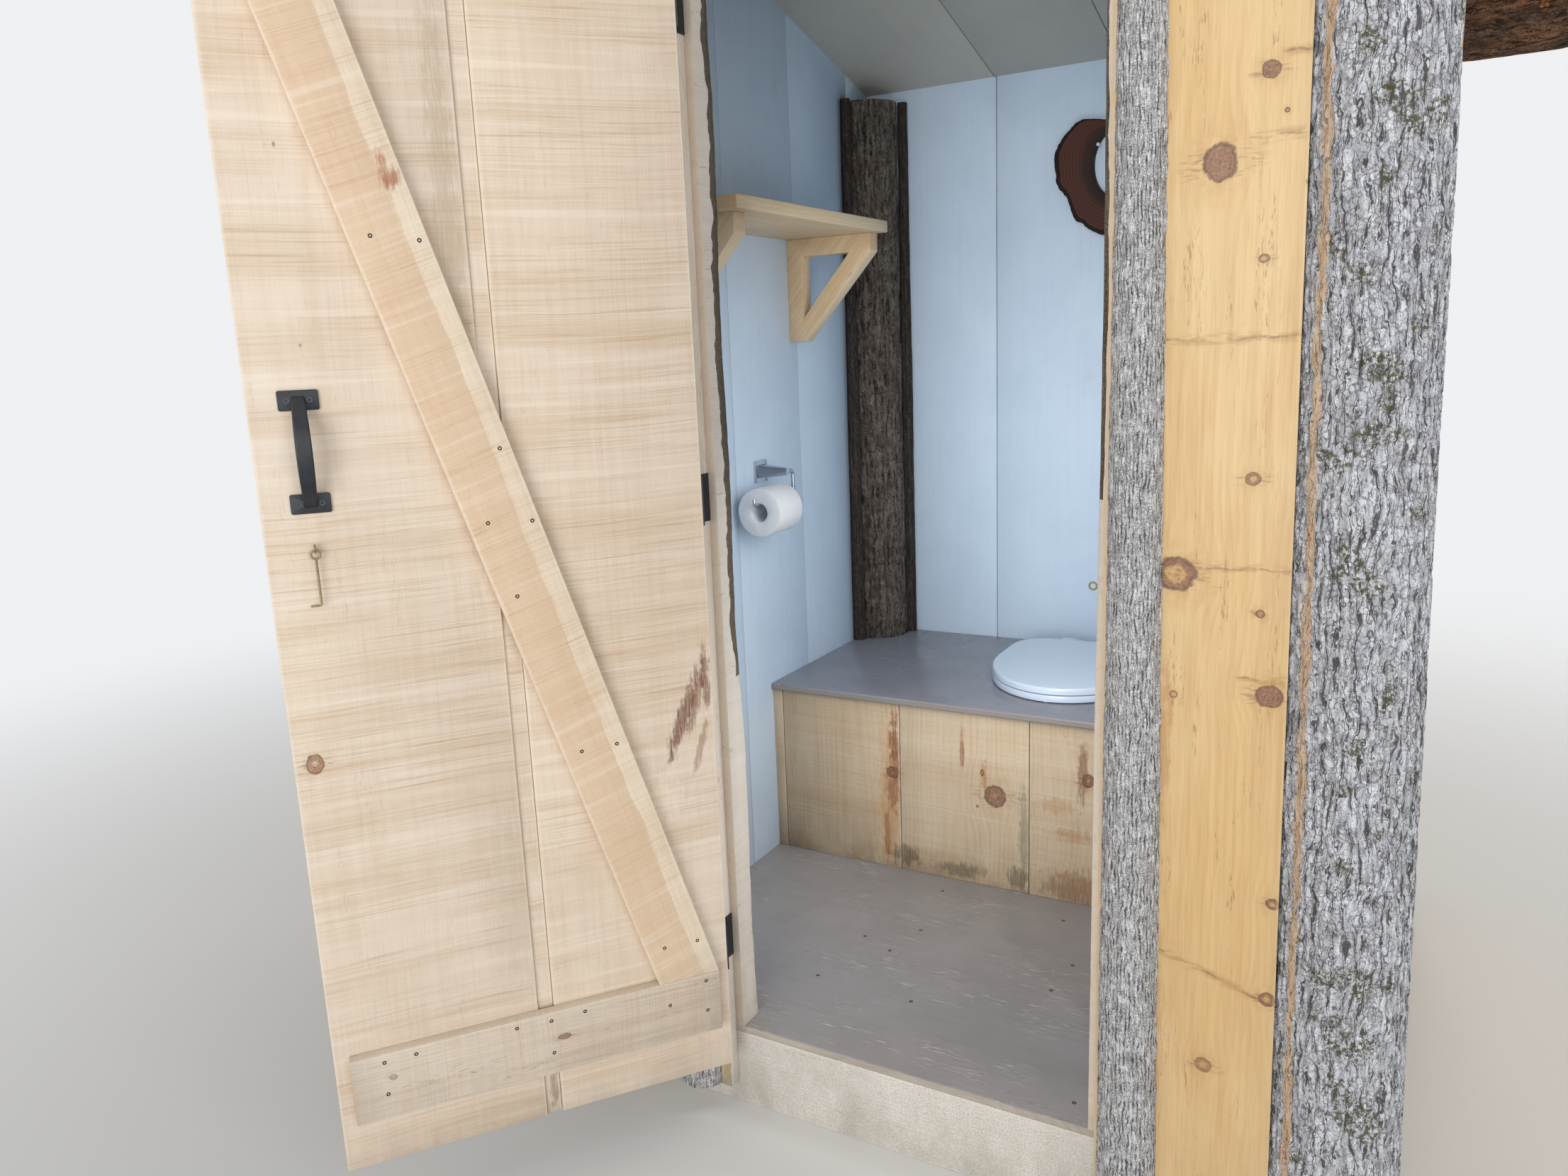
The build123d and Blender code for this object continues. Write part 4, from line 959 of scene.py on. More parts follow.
# The floor's raised grain ridges get a painted highlight and a painted shadow beside them.
FLOOR_PAINT = PaintFinish(
    "taupe floor paint", tint(160, 155, 154), tint(142, 137, 135), roughness=0.36, grain=0.1, ridges=1.0,
    wear=0.4, step=0.0011, bare=tint(208, 201, 194), dirt=0.05)
BENCH_PAINT = PaintFinish(
    "taupe bench paint", tint(144, 144, 151), tint(130, 130, 137), roughness=0.26, grain=0.05, wear=0.35,
    bare=tint(160, 142, 120), foot=0.1, dirt=0.0)
POST_BARK = BarkFinish(
    "furrowed grey bark", tint(222, 224, 231), tint(202, 203, 208), tint(64, 61, 59), lichen_share=0.5,
    moss_share=0.53, count=46.0, sway=3.4, flake=0.0085, short=1.2, torn=(-0.61, -0.79, 0.0))
SLAB_BARK = BarkFinish(
    "fine grey bark", tint(230, 231, 234), tint(212, 211, 211), tint(80, 77, 73), lichen_share=0.5,
    moss=tint(122, 118, 92), moss_share=0.2, count=44.0, sway=2.4, flake=0.0055, cracks=1.0, short=2.0,
    step=0.0012)
DARK_BARK = BarkFinish(
    "dark brown bark", tint(128, 118, 107), tint(102, 92, 83), tint(38, 33, 30), lichen=tint(148, 141, 132),
    lichen_share=0.3, moss_share=0.0, count=34.0, sway=3.0, flake=0.011)
# The plate logs' dark brown is partly their own bark and partly painted shade, as they lie in shadow under
# the roof.
SHADED_PLATE_BARK = BarkFinish(
    "brown plate bark in painted shade", tint(112, 92, 78), tint(84, 66, 54), tint(34, 27, 23), lichen=tint(160, 116, 84),
    lichen_share=0.5, moss=tint(168, 104, 64), moss_share=0.45, count=30.0, sway=4.0, flake=0.012)
SAPLING_BARK = BarkFinish(
    "thin sapling bark", tint(82, 74, 68), tint(64, 57, 52), tint(32, 28, 26), lichen=tint(104, 98, 92),
    lichen_share=0.2, moss_share=0.0, count=8.0, sway=1.2, flake=0.006, step=0.0006)
SAWN_LOG = CutFinish("sawn log face", tint(206, 186, 156), tint(160, 134, 104))
LOG_END = CutFinish("log end", tint(190, 170, 142), tint(132, 106, 80), grey=0.6)
SLICE_FACE = CutFinish("oiled slice", tint(88, 53, 43), tint(54, 33, 28), ring_width=0.007, grey=0.0,
                       bark_from=0.1265, rot_to=0.076)
ROOF_METAL = SmoothFinish("painted roof sheet", tint(92, 96, 100), tint(126, 128, 126), roughness=0.42,
                          dust=0.5, scale=5.0, step=0.0003)
SCREW_STEEL = SmoothFinish("plated screw", tint(120, 114, 104), tint(92, 74, 54), roughness=0.4, metal=0.8)
DARK_SCREW = SmoothFinish("dark screw", tint(62, 50, 42), tint(84, 66, 50), roughness=0.55, metal=0.4)
BLACK_IRON = SmoothFinish("black iron", tint(36, 38, 44), tint(60, 62, 68), roughness=0.38, metal=0.2,
                          dust=0.35, scale=60.0, step=0.00015)
# The pull screws are coloured lighter than the black iron round them: a painted highlight on their domed
# heads.
HIGHLIT_PULL_SCREW = SmoothFinish("black screw with painted highlight", tint(74, 78, 88), tint(96, 98, 104), roughness=0.3, metal=0.3,
                          dust=0.2)
DULL_WIRE = SmoothFinish("dull wire", tint(158, 142, 110), tint(104, 84, 58), roughness=0.42, metal=0.85,
                         scale=150.0)
CHROME = SmoothFinish("polished chrome", tint(196, 200, 206), tint(150, 154, 160), roughness=0.12, metal=1.0,
                      dust=0.2)
ENAMEL = SmoothFinish("white seat gloss", tint(220, 232, 247), tint(206, 218, 234), roughness=0.16, dust=0.25,
                      scale=9.0, step=0.00004, coat=0.3)
HINGE_PLASTIC = SmoothFinish("white hinge plastic", tint(224, 228, 232), tint(200, 204, 208), roughness=0.3)
TISSUE = TissueFinish()

Finish = BoardFinish | PaintFinish | BarkFinish | CutFinish | SmoothFinish | TissueFinish


def material_of(finish: Finish) -> bpy.types.Material:
    """The material of a finish, made at its first use."""
    return bpy.data.materials.get(finish.name) or finish.make()


def keep_piece(bm: Mesh, name: str, finishes: Sequence[Finish], body: Body, slot: str,
               stands_for: Sequence[str] = (), smooth: float | None = None) -> bpy.types.Object:
    """Turns a finished mesh into a piece of the object.

    Args:
        bm: The mesh, in its place; it is freed.
        name: The piece's name.
        finishes: One for each material index.
        body: What it moves with.
        slot: The record's material slot; not used.
        stands_for: CAD nodes that it replaces.
        smooth: Edges turned less than this angle are shaded smooth.

    Returns:
        The new object.
    """
    mesh = bpy.data.meshes.new(name)
    bm.to_mesh(mesh)
    bm.free()
    for finish in finishes:
        mesh.materials.append(material_of(finish))
    if smooth is not None:
        mesh.shade_smooth()
        mesh.set_sharp_from_angle(angle=smooth)
    piece = bpy.data.objects.new(name, mesh)
    bpy.context.scene.collection.objects.link(piece)
    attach(piece, body.value)
    if stands_for:
        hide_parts(*stands_for)
    log.info("%s: %d faces, stands for %s", name, len(mesh.polygons), ", ".join(stands_for) or "nothing")
    return piece


def merged_copy(node: str) -> Mesh:
    """A merged copy of a CAD node's mesh, its flat faces whole again."""
    bm = bmesh.new()
    bm.from_mesh(frame["nodes"][node].data)
    bmesh.ops.remove_doubles(bm, verts=bm.verts, dist=1e-5)
    bmesh.ops.dissolve_limit(bm, angle_limit=math.radians(0.4), verts=bm.verts, edges=bm.edges)
    return bm


def loose_parts(bm: Mesh) -> list[list[bmesh.types.BMFace]]:
    """The faces of each separate part of a mesh."""
    left = set(bm.faces)
    parts = []
    for seed in bm.faces:
        if seed not in left:
            continue
        left.discard(seed)
        part, edge = [seed], [seed]
        while edge:
            face = edge.pop()
            for near in (other for e in face.edges for other in e.link_faces if other in left):
                left.discard(near)
                part.append(near)
                edge.append(near)
        parts.append(part)
    return parts


def limits(points: Sequence[Vector]) -> tuple[Vector, Vector]:
    """The low and the high corner of the box round some points."""
    return (Vector([min(p[i] for p in points) for i in range(3)]),
            Vector([max(p[i] for p in points) for i in range(3)]))


def round_off(bm: Mesh, edges: Sequence[bmesh.types.BMEdge], width: float) -> None:
    """Rounds edges a little.

    Args:
        bm: The mesh.
        edges: The edges.
        width: How far from the edge the rounding starts.
    """
    bmesh.ops.bevel(bm, geom=edges, offset=width, offset_type="OFFSET", segments=2, profile=0.5,
                    affect="EDGES", clamp_overlap=True, material=-1)


@dataclass(frozen=True)
class DoorPlace:
    """Where the door hangs and how far it stands open at rest."""

    left: float = -0.3125
    inner_face: float = -0.669
    thickness: float = 0.022

    @property
    def closed_to_rest(self) -> Matrix:
        """Turns a point of the closed door to its place at rest."""
        joint = next(j for j in frame["joints"] if j["name"] == "door_hinge")
        hinge = Vector((joint["pos_m"][0], joint["pos_m"][1], 0.0))
        turn = Matrix.Rotation(-math.radians(joint["range_deg"][1]), 4, "Z")
        return Matrix.Translation(hinge) @ turn @ Matrix.Translation(-hinge)

    @property
    def to_face(self) -> Matrix:
        """Turns a point at rest to the door's own face: x from the hinge edge, z up."""
        return Matrix.Translation((-self.left, -self.inner_face, 0.0)) @ self.closed_to_rest.inverted()

    def at(self, s: float, z: float, depth: float = 0.0) -> Vector:
        """The point at rest that lies s from the hinge edge and depth in front of the inner face."""
        return self.closed_to_rest @ Vector((self.left + s, self.inner_face + depth, z))


DOOR = DoorPlace()


@dataclass
class Boarding:
    """Boards copied from a CAD node, with eased edges and a grain frame for each."""

    node: str
    finish: Finish
    slot: str
    body: Body = Body.HOUSE
    ease: float = 0.0014
    least_edge: float = 0.018
    seed: int = 1
    face: Matrix = field(default_factory=lambda: Matrix.Identity(4))
    second: Finish | None = None
    flat: Place = (0.0, 0.0, 1.0)

    def build(self) -> bpy.types.Object:
        """Builds the boards as one piece.

        Returns:
            The piece, which stands for the node.
        """
        bm = self._mesh()
        frames = self._frames(bm)
        self._ease_edges(bm)
        self._write_frames(bm, frames)
        finishes = [self.finish] + ([self.second] if self.second else [])
        return keep_piece(bm, "boards_" + self.node, finishes, self.body, self.slot, [self.node],
                          BOARD_SMOOTH)

    def _mesh(self) -> Mesh:
        """The boards' mesh; a second finish goes on what isn't their flat side."""
        bm = merged_copy(self.node)
        if self.second:
            for face in bm.faces:
                face.material_index = int(abs(face.normal.dot(self.flat)) < 0.5)
        return bm

    def _frames(self, bm: Mesh) -> list[tuple[Matrix, Vector, Vector]]:
        """The frame, half size and chance numbers of each board, told by its number on the faces."""
        number = bm.faces.layers.int.new("board")
        draw = random.Random(self.seed)
        frames = []
        for index, part in enumerate(loose_parts(bm)):
            for face in part:
                face[number] = index
            longest = max((e for f in part for e in f.edges), key=lambda e: e.calc_length())
            along = (longest.verts[1].co - longest.verts[0].co).normalized()
            broad = max(part, key=lambda f: f.calc_area())
            depth = broad.normal.copy()
            turn = Matrix((depth.cross(along), along, depth))
            points = [turn @ v.co for f in part for v in f.verts]
            low, high = limits(points)
            place = turn.to_4x4()
            place.translation = -(low + high) / 2
            frames.append((place, (high - low) / 2, Vector([draw.random() for _ in range(3)])))
        return frames

    def _ease_edges(self, bm: Mesh) -> None:
        """Rounds the boards' long sharp edges a little."""
        sharp = [e for e in bm.edges if len(e.link_faces) == 2 and e.calc_length() > self.least_edge
                 and e.calc_face_angle(0.0) > 0.5]
        if sharp and self.ease:
            round_off(bm, sharp, self.ease)

    def _write_frames(self, bm: Mesh, frames: Sequence[tuple[Matrix, Vector, Vector]]) -> None:
        """Keeps each point's place on its board."""
        number = bm.faces.layers.int["board"]
        plank, half, chance, place = (bm.verts.layers.float_vector.new(name)
                                      for name in ("plank", "plank_half", "plank_number", "place"))
        for vert in bm.verts:
            if not vert.link_faces:
                continue
            matrix, size, numbers = frames[vert.link_faces[0][number]]
            vert[plank] = matrix @ vert.co
            vert[half] = size
            vert[chance] = numbers
            vert[place] = self.face @ vert.co


class Surface:
    """A CAD node's surface, to set small things on."""

    def __init__(self, node: str) -> None:
        """Reads the node's mesh."""
        mesh = frame["nodes"][node].data
        points = [v.co.copy() for v in mesh.vertices]
        self.tree = BVHTree.FromPolygons(points, [tuple(p.vertices) for p in mesh.polygons])

    def beside(self, x: float, z: float, side: int) -> float:
        """Where a ray along Y that comes from a side (-1 front, 1 back) meets the surface."""
        return self.tree.ray_cast(Vector((x, side * 9.0, z)), Vector((0, -side, 0)))[0].y

    def under(self, x: float, y: float) -> tuple[Vector, Vector] | None:
        """The point and normal right under x and y, if there is one."""
        spot, normal, _, _ = self.tree.ray_cast(Vector((x, y, 9.0)), Vector((0, 0, -1)))
        return (spot, normal) if spot is not None else None


def read_table(table: Sequence[tuple[float, float]], value: float) -> float:
    """The height of a line through points, at a value.

    Args:
        table: Points in rising order of their first number.
        value: Where to read.

    Returns:
        The second number there; it stays level past both ends.
    """
    if value <= table[0][0]:
        return table[0][1]
    for (start, low), (end, high) in zip(table, table[1:]):
        if value <= end:
            return low + (high - low) * (value - start) / (end - start)
    return table[-1][1]


@dataclass
class LiveJamb(Boarding):
    """A jamb board with one corner left as it grew: wavy, with bark along part of it."""

    side: int = 1
    edge: int = -1
    wane: tuple[tuple[float, float], ...] = ((0.0, 0.003),)
    bark_from: float = 1.0
    slope: float = 1.2
    patches: float = 9.0
    pitch: float = 0.006
    steps: int = 6
    live_steps: tuple[int, int] = (2, 4)
    sway: float = 0.0016
    ripple: float = 0.0007
    least_wane: float = 0.0006
    ease: float = 0.0

    def _mesh(self) -> Mesh:
        """A tube of rows up the board, its live corner set back row by row."""
        low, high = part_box(self.node)
        rows = int((high.z - low.z) / self.pitch)
        bm = bmesh.new()
        bmesh.ops.create_grid(bm, x_segments=self.steps, y_segments=rows, size=0.5)
        first, last = self.live_steps
        waney = {f for f in bm.faces if first < (f.calc_center_median().x + 0.5) * self.steps < last}
        surface = Surface(self.node)
        corners = {}
        for vert in bm.verts:
            step, row = round((vert.co.x + 0.5) * self.steps), round((vert.co.y + 0.5) * rows)
            if row not in corners:
                corners[row] = self._outline(low, high, low.z + (high.z - low.z) * row / rows, surface)
            vert.co = corners[row][step % self.steps]
        bmesh.ops.remove_doubles(bm, verts=bm.verts, dist=1e-6)
        rims = [e for e in bm.edges if e.is_boundary]
        bmesh.ops.edgeloop_fill(bm, edges=rims)
        bmesh.ops.recalc_face_normals(bm, faces=bm.faces)
        for face in (f for f in waney if f.is_valid):
            height = face.calc_center_median().z
            patch = noise.noise(Vector((self.seed, 0.0, height * self.patches))) + 0.3
            face.material_index = int(height > self.bark_from and (not self.patches or patch > 0))
        return bm

    def _outline(self, low: Vector, high: Vector, z: float, surface: Surface) -> list[Vector]:
        """The board's outline at a height, from the wall side round by the opening."""
        wall, opening = (low.x, high.x) if self.side < 0 else (high.x, low.x)
        inwards = 1 if wall > opening else -1
        probe = min(max(z, low.z + 0.002), high.z - 0.002)
        live = surface.beside((low.x + high.x) / 2, probe, self.edge)
        still = low.y if self.edge > 0 else high.y
        jitter = noise.noise(Vector((self.seed * 3.3, 1.0, z * 24))) * self.sway
        jitter += noise.noise(Vector((self.seed, 4.0, z * 85))) * self.ripple
        back = max(self.least_wane, read_table(self.wane, z) + jitter)
        reach = back * self.slope
        bump = noise.noise(Vector((self.seed, 9.0, z * 110))) * min(0.001, back * 0.3)
        lip = Vector((opening + inwards * (back * 0.35 + bump), live - self.edge * reach * 0.45, z))
        return [Vector((wall, still, z)), Vector((opening, still, z)),
                Vector((opening, live - self.edge * reach, z)), lip,
                Vector((opening + inwards * back, live, z)), Vector((wall, live, z))]


@dataclass(frozen=True)
class BarkShape:
    """The relief of a log's bark."""

    across: float = 0.017
    along: float = 0.085
    furrow: float = 0.0035
    lump: float = 0.004
    width: float = 0.3

    def depth_at(self, point: Vector, seed: Vector) -> tuple[float, float]:
        """How far the bark lies under the log's greatest round at a point, and how high its ridge is, 0 to 1.

        Args:
            point: A point on the log in its own frame, +Z along it.
            seed: A shift that makes each log its own.

        Returns:
            The depth in metres and the ridge.
        """
        warp = noise.noise_vector(Vector((point.x * 26, point.y * 26, point.z * 7)) + seed)
        spot = Vector((point.x / self.across, point.y / self.across, point.z / self.along))
        spot = spot + warp * 0.55 + seed
        near = noise.voronoi(spot)[0]
        ridge = min(1.0, max(0.0, (near[1] - near[0]) / self.width))
        ridge = ridge * ridge * (3 - 2 * ridge)
        lump = 0.5 + 0.5 * noise.noise(Vector((point.x * 9, point.y * 9, point.z * 3.2)) + seed)
        return self.furrow * (1 - ridge) + self.lump * lump, ridge


@dataclass
class Trunk:
    """A round log with its bark on, from foot to head."""

    foot: Vector
    head: Vector
    foot_radius: float
    head_radius: float
    shape: BarkShape
    sides: int = 120
    rows: int = 160
    seed: float = 0.0

    @property
    def place(self) -> Matrix:
        """The log's own frame, +Z from foot to head."""
        axis = (self.head - self.foot).normalized()
        across = Vector((0, 1, 0)) if abs(axis.x) > 0.9 else Vector((1, 0, 0))
        side = (across - axis * across.dot(axis)).normalized()
        turn = Matrix((side, axis.cross(side), axis)).transposed().to_4x4()
        return Matrix.Translation(self.foot) @ turn

    def build(self) -> Mesh:
        """Builds the log with its relief.

        Returns:
            The mesh in its place; material 0 is bark and 1 the ends.
        """
        length = (self.head - self.foot).length
        bm = bmesh.new()
        bmesh.ops.create_cone(bm, cap_ends=True, cap_tris=False, segments=self.sides,
                              radius1=self.foot_radius, radius2=self.head_radius, depth=length)
        bmesh.ops.translate(bm, verts=bm.verts, vec=(0, 0, length / 2))
        for face in bm.faces:
            face.material_index = int(abs(face.normal.z) > 0.9)
        risers = [e for e in bm.edges if abs(e.verts[0].co.z - e.verts[1].co.z) > length / 2]
        bmesh.ops.subdivide_edges(bm, edges=risers, cuts=self.rows - 1)
        self._relief(bm)
        bm.transform(self.place)
        return bm

    def _relief(self, bm: Mesh) -> None:
        """Sinks the furrows and keeps each point's place on the log."""
        trunk = bm.verts.layers.float_vector.new("trunk")
        bark = bm.verts.layers.float_vector.new("bark")
        seed = Vector((self.seed * 3.1, self.seed * 1.7, self.seed * 5.3))
        for vert in bm.verts:
            depth, ridge = self.shape.depth_at(vert.co, seed)
            radius = math.hypot(vert.co.x, vert.co.y)
            factor = (radius - depth) / radius
            vert[trunk] = vert.co + Vector((0, 0, self.seed))
            vert[bark] = (ridge, 0.0, 0.0)
            vert.co.x *= factor
            vert.co.y *= factor


def cut_flat(bm: Mesh, point: Place, outwards: Place, material: int = 2) -> None:
    """Saws a mesh off at a plane and closes the cut.

    Args:
        bm: The mesh.
        point: A point of the plane.
        outwards: The side that falls away.
        material: The cut's material index.
    """
    everything = [*bm.verts, *bm.edges, *bm.faces]
    sawn = bmesh.ops.bisect_plane(bm, geom=everything, plane_co=point, plane_no=outwards, clear_outer=True)
    rim = [g for g in sawn["geom_cut"] if isinstance(g, bmesh.types.BMEdge)]
    for face in bmesh.ops.edgeloop_fill(bm, edges=rim)["faces"]:
        face.material_index = material


@dataclass
class LogWork:
    """Corner posts, plate logs, half-log trim and saplings."""

    post_front_y: float = -0.640
    front_foot_x: float = 0.630
    front_head_x: float = 0.596
    front_radii: tuple[float, float] = (0.087, 0.079)
    back_x: float = 0.598
    back_y: float = 0.556
    back_radii: tuple[float, float] = (0.083, 0.076)
    half_width: float = 0.6585
    half_log_radii: tuple[float, float] = (0.0455, 0.0290)
    half_log_leans: tuple[float, float] = (0.0, -0.0165)
    half_log_heart: float = 0.0055
    half_log_row: float = 0.0062
    front_face: float = -0.688
    post_shape: BarkShape = BarkShape(0.010, 0.045, 0.0028, 0.004, 0.35)
    slab_shape: BarkShape = BarkShape(0.0075, 0.034, 0.0018, 0.003, 0.35)
    dark_shape: BarkShape = BarkShape(0.020, 0.13, 0.0045, 0.004, 0.3)
    sapling_shape: BarkShape = BarkShape(0.008, 0.08, 0.0007, 0.0035, 0.4)
    sapling_lean: float = 0.008
    sapling_corner: float = 0.57
    sapling_swell: tuple[float, float] = (1.35, 1.05)

    def build(self) -> None:
        """Builds every log."""
        for side, label in ((-1, "left"), (1, "right")):
            self._front_post(side, label)
            self._back_post(side, label)
        self._upright_half_logs()
        self._head_half_log()
        self._plates()
        self._saplings()

    def _keep(self, bm: Mesh, node: str, slot: str, *finishes: Finish) -> None:
        """Keeps a log as the piece that stands for its node."""
        keep_piece(bm, "log_" + node, finishes, Body.HOUSE, slot, [node], LOG_SMOOTH)

    def _front_post(self, side: int, label: str) -> None:
        """A leaning post under the front plate log."""
        node = f"front_{label}_post"
        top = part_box(node)[1].z
        foot = Vector((side * self.front_foot_x, self.post_front_y, 0.0))
        head = Vector((side * self.front_head_x, self.post_front_y, top))
        sides, rows = (170, 380) if side > 0 else (120, 220)
        trunk = Trunk(foot, head, *self.front_radii, self.post_shape, sides, rows, seed=2.0 + side)
        self._keep(trunk.build(), node, "bark_post", POST_BARK, LOG_END)

    def _back_post(self, side: int, label: str) -> None:
        """A back post, hewn flat where the side wall's boards are nailed to it."""
        node = f"back_{label}_post"
        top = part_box(node)[1].z
        foot = Vector((side * self.back_x, self.back_y, 0.0))
        head = Vector((side * self.back_x, self.back_y, top))
        bm = Trunk(foot, head, *self.back_radii, self.dark_shape, sides=110, rows=210,
                   seed=7.0 + side).build()
        cut_flat(bm, (side * self.half_width, 0, 0), (side, 0, 0))
        self._keep(bm, node, "dark_bark", DARK_BARK, LOG_END, SAWN_LOG)

    def _half_log(self, foot: Vector, head: Vector, radii: tuple[float, float], seed: float) -> Mesh:
        """Half of a round log, its sawn side on the wall's front face."""
        rows = int((head - foot).length / self.half_log_row)
        bm = Trunk(foot, head, *radii, self.slab_shape, sides=96, rows=rows, seed=seed).build()
        cut_flat(bm, (0, self.front_face, 0), (0, 1, 0))
        return bm

    def _upright_half_logs(self) -> None:
        """The half logs that stand beside the doorway."""
        y = self.front_face + self.half_log_heart
        for label, seed, lean in zip(("left", "right"), (11.0, 14.0), self.half_log_leans):
            node = label + "_half_log"
            low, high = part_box(node)
            x = (low.x + high.x) / 2
            foot, head = Vector((x, y, low.z)), Vector((x + lean, y, high.z))
            bm = self._half_log(foot, head, self.half_log_radii, seed)
            self._keep(bm, node, "bark_post", SLAB_BARK, LOG_END, SAWN_LOG)

    def _head_half_log(self) -> None:
        """The half log over the doorway."""
        node = "head_half_log"
        low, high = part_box(node)
        z, y = (low.z + high.z) / 2, self.front_face + self.half_log_heart
        gap = (high.z - low.z) / 2 - self.half_log_radii[1]
        foot, head = Vector((low.x - gap, y, z)), Vector((high.x, y, z))
        bm = self._half_log(foot, head, (self.half_log_radii[0],) * 2, 17.0)
        self._keep(bm, node, "bark_post", SLAB_BARK, LOG_END, SAWN_LOG)

    def _plates(self) -> None:
        """The plate logs along the front and the back."""
        plates = (("front_plate_log", "bark_post", 21.0), ("back_plate_log", "dark_bark", 24.0))
        for node, slot, seed in plates:
            low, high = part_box(node)
            radius = (high.y - low.y) / 2
            z, y = low.z + radius, (low.y + high.y) / 2
            foot, head = Vector((low.x, y, z)), Vector((high.x, y, z))
            bm = Trunk(foot, head, radius, radius, self.dark_shape, sides=100, rows=230, seed=seed).build()
            self._keep(bm, node, slot, SHADED_PLATE_BARK, LOG_END)

    def _saplings(self) -> None:
        """Thin saplings in the joints beside the back posts."""
        node = "corner_saplings"
        mesh = merged_copy(node)
        stems = []
        for part in loose_parts(mesh):
            low, high = limits([v.co for f in part for v in f.verts])
            stems.append(((low.x + high.x) / 2, (low.y + high.y) / 2, low.z, high.z, (high.x - low.x) / 2))
        mesh.free()
        joined = bmesh.new()
        for index, (x, y, low, high, radius) in enumerate(sorted(stems)):
            log.info("sapling at %.3f %.3f, radius %.4f", x, y, radius)
            x += math.copysign(self.sapling_lean, x) if y > self.sapling_corner else 0.0
            foot_radius, head_radius = (radius * swell for swell in self.sapling_swell)
            bm = Trunk(Vector((x, y, low)), Vector((x, y, high)), foot_radius, head_radius,
                       self.sapling_shape, sides=24, rows=130, seed=31.0 + index).build()
            stem = bpy.data.meshes.new("stem")
            bm.to_mesh(stem)
            bm.free()
            joined.from_mesh(stem)
            bpy.data.meshes.remove(stem)
        keep_piece(joined, "log_saplings", [SAPLING_BARK, LOG_END], Body.HOUSE, "dark_bark", [node],
                   SAPLING_SMOOTH)


@dataclass
class ScrewSet:
    """Screw heads of one size, joined in one piece."""

    name: str
    body: Body
    slot: str
    finish: Finish
    radius: float = 0.0035
    rise: float = 0.0008
    sides: int = 12
    top_share: float = 0.8
    flat_share: float = 0.35
    well_share: float = 0.12
    well_depth: float = 0.7
    heads: list[tuple[Vector, Vector]] = field(default_factory=list)

    def build(self) -> bpy.types.Object:
        """Builds the heads, each a low cone with a sunk middle.

        Returns:
            The joined piece.
        """
        bm = bmesh.new()
        for spot, outwards in self.heads:
            new = bmesh.ops.create_cone(bm, cap_ends=True, cap_tris=False, segments=self.sides,
                                        radius1=self.radius, radius2=self.radius * self.top_share,
                                        depth=self.rise)["verts"]
            top = next(f for f in {f for v in new for f in v.link_faces} if f.normal.z > 0.9)
            bmesh.ops.inset_region(bm, faces=[top], thickness=self.radius * self.flat_share)
            pushed = bmesh.ops.inset_region(bm, faces=[top], thickness=self.radius * self.well_share,
                                            depth=-self.rise * self.well_depth)
            points = {v for f in [top, *pushed["faces"]] for v in f.verts} | set(new)
            points |= {v for f in {f for v in points for f in v.link_faces} for v in f.verts}
            turn = outwards.to_track_quat("Z", "Y").to_matrix().to_4x4()
            bmesh.ops.transform(bm, matrix=Matrix.Translation(spot) @ turn, verts=list(points))
        return keep_piece(bm, self.name, [self.finish], self.body, self.slot, (), SCREW_SMOOTH)


@dataclass
class Door:
    """The plank door with its ledges, brace and ironwork."""

    place: DoorPlace = DOOR
    ledge_thickness: float = 0.020
    pull_place: float = 0.560
    pull_spread: float = 0.0145
    pull_plate: float = 0.003
    pull_levels: tuple[float, float] = (1.1325, 1.2715)
    brace_screws: tuple[tuple[float, float], ...] = (
        (0.447, 1.481), (0.385, 1.475), (0.330, 1.086), (0.267, 1.084), (0.304, 1.191), (0.222, 0.723),
        (0.167, 0.726), (0.057, 0.366), (0.113, 0.366), (0.298, 0.975), (0.500, 1.83), (0.555, 1.86))
    ledge_screws: tuple[tuple[float, float], ...] = (
        (0.555, 0.289), (0.509, 0.290), (0.555, 0.236), (0.358, 0.290), (0.304, 0.288), (0.250, 0.290),
        (0.304, 0.232), (0.046, 0.290), (0.046, 0.236), (0.110, 0.262), (0.555, 1.990), (0.555, 1.935),
        (0.420, 1.990), (0.250, 1.940), (0.110, 1.985), (0.046, 1.940))

    def build(self) -> None:
        """Builds the door."""
        face = self.place.to_face
        for node, finish, seed in (("door_boards", DOOR_BOARD, 4), ("door_battens", LEDGE_BOARD, 5),
                                   ("door_brace", BRACE_BOARD, 6)):
            Boarding(node, finish, "rough_pine", Body.DOOR, seed=seed, face=face).build()
        self._screws()

    def _screws(self) -> None:
        """Screws through ledges and brace."""
        normal = self.place.closed_to_rest.to_3x3() @ Vector((0, 1, 0))
        spots = self.brace_screws + self.ledge_screws
        heads = [(self.place.at(s, z, self.ledge_thickness), normal) for s, z in spots]
        ScrewSet("door_screws", Body.DOOR, "black_iron", DARK_SCREW, heads=heads).build()
        pulls = [(self.place.at(self.pull_place + side * self.pull_spread, z, depth), normal * facing)
                 for depth, facing in ((self.pull_plate, 1), (-self.place.thickness - self.pull_plate, -1))
                 for z in self.pull_levels for side in (-1, 1)]
        ScrewSet("pull_screws", Body.DOOR, "black_iron", HIGHLIT_PULL_SCREW, 0.0048, 0.0016, heads=pulls).build()


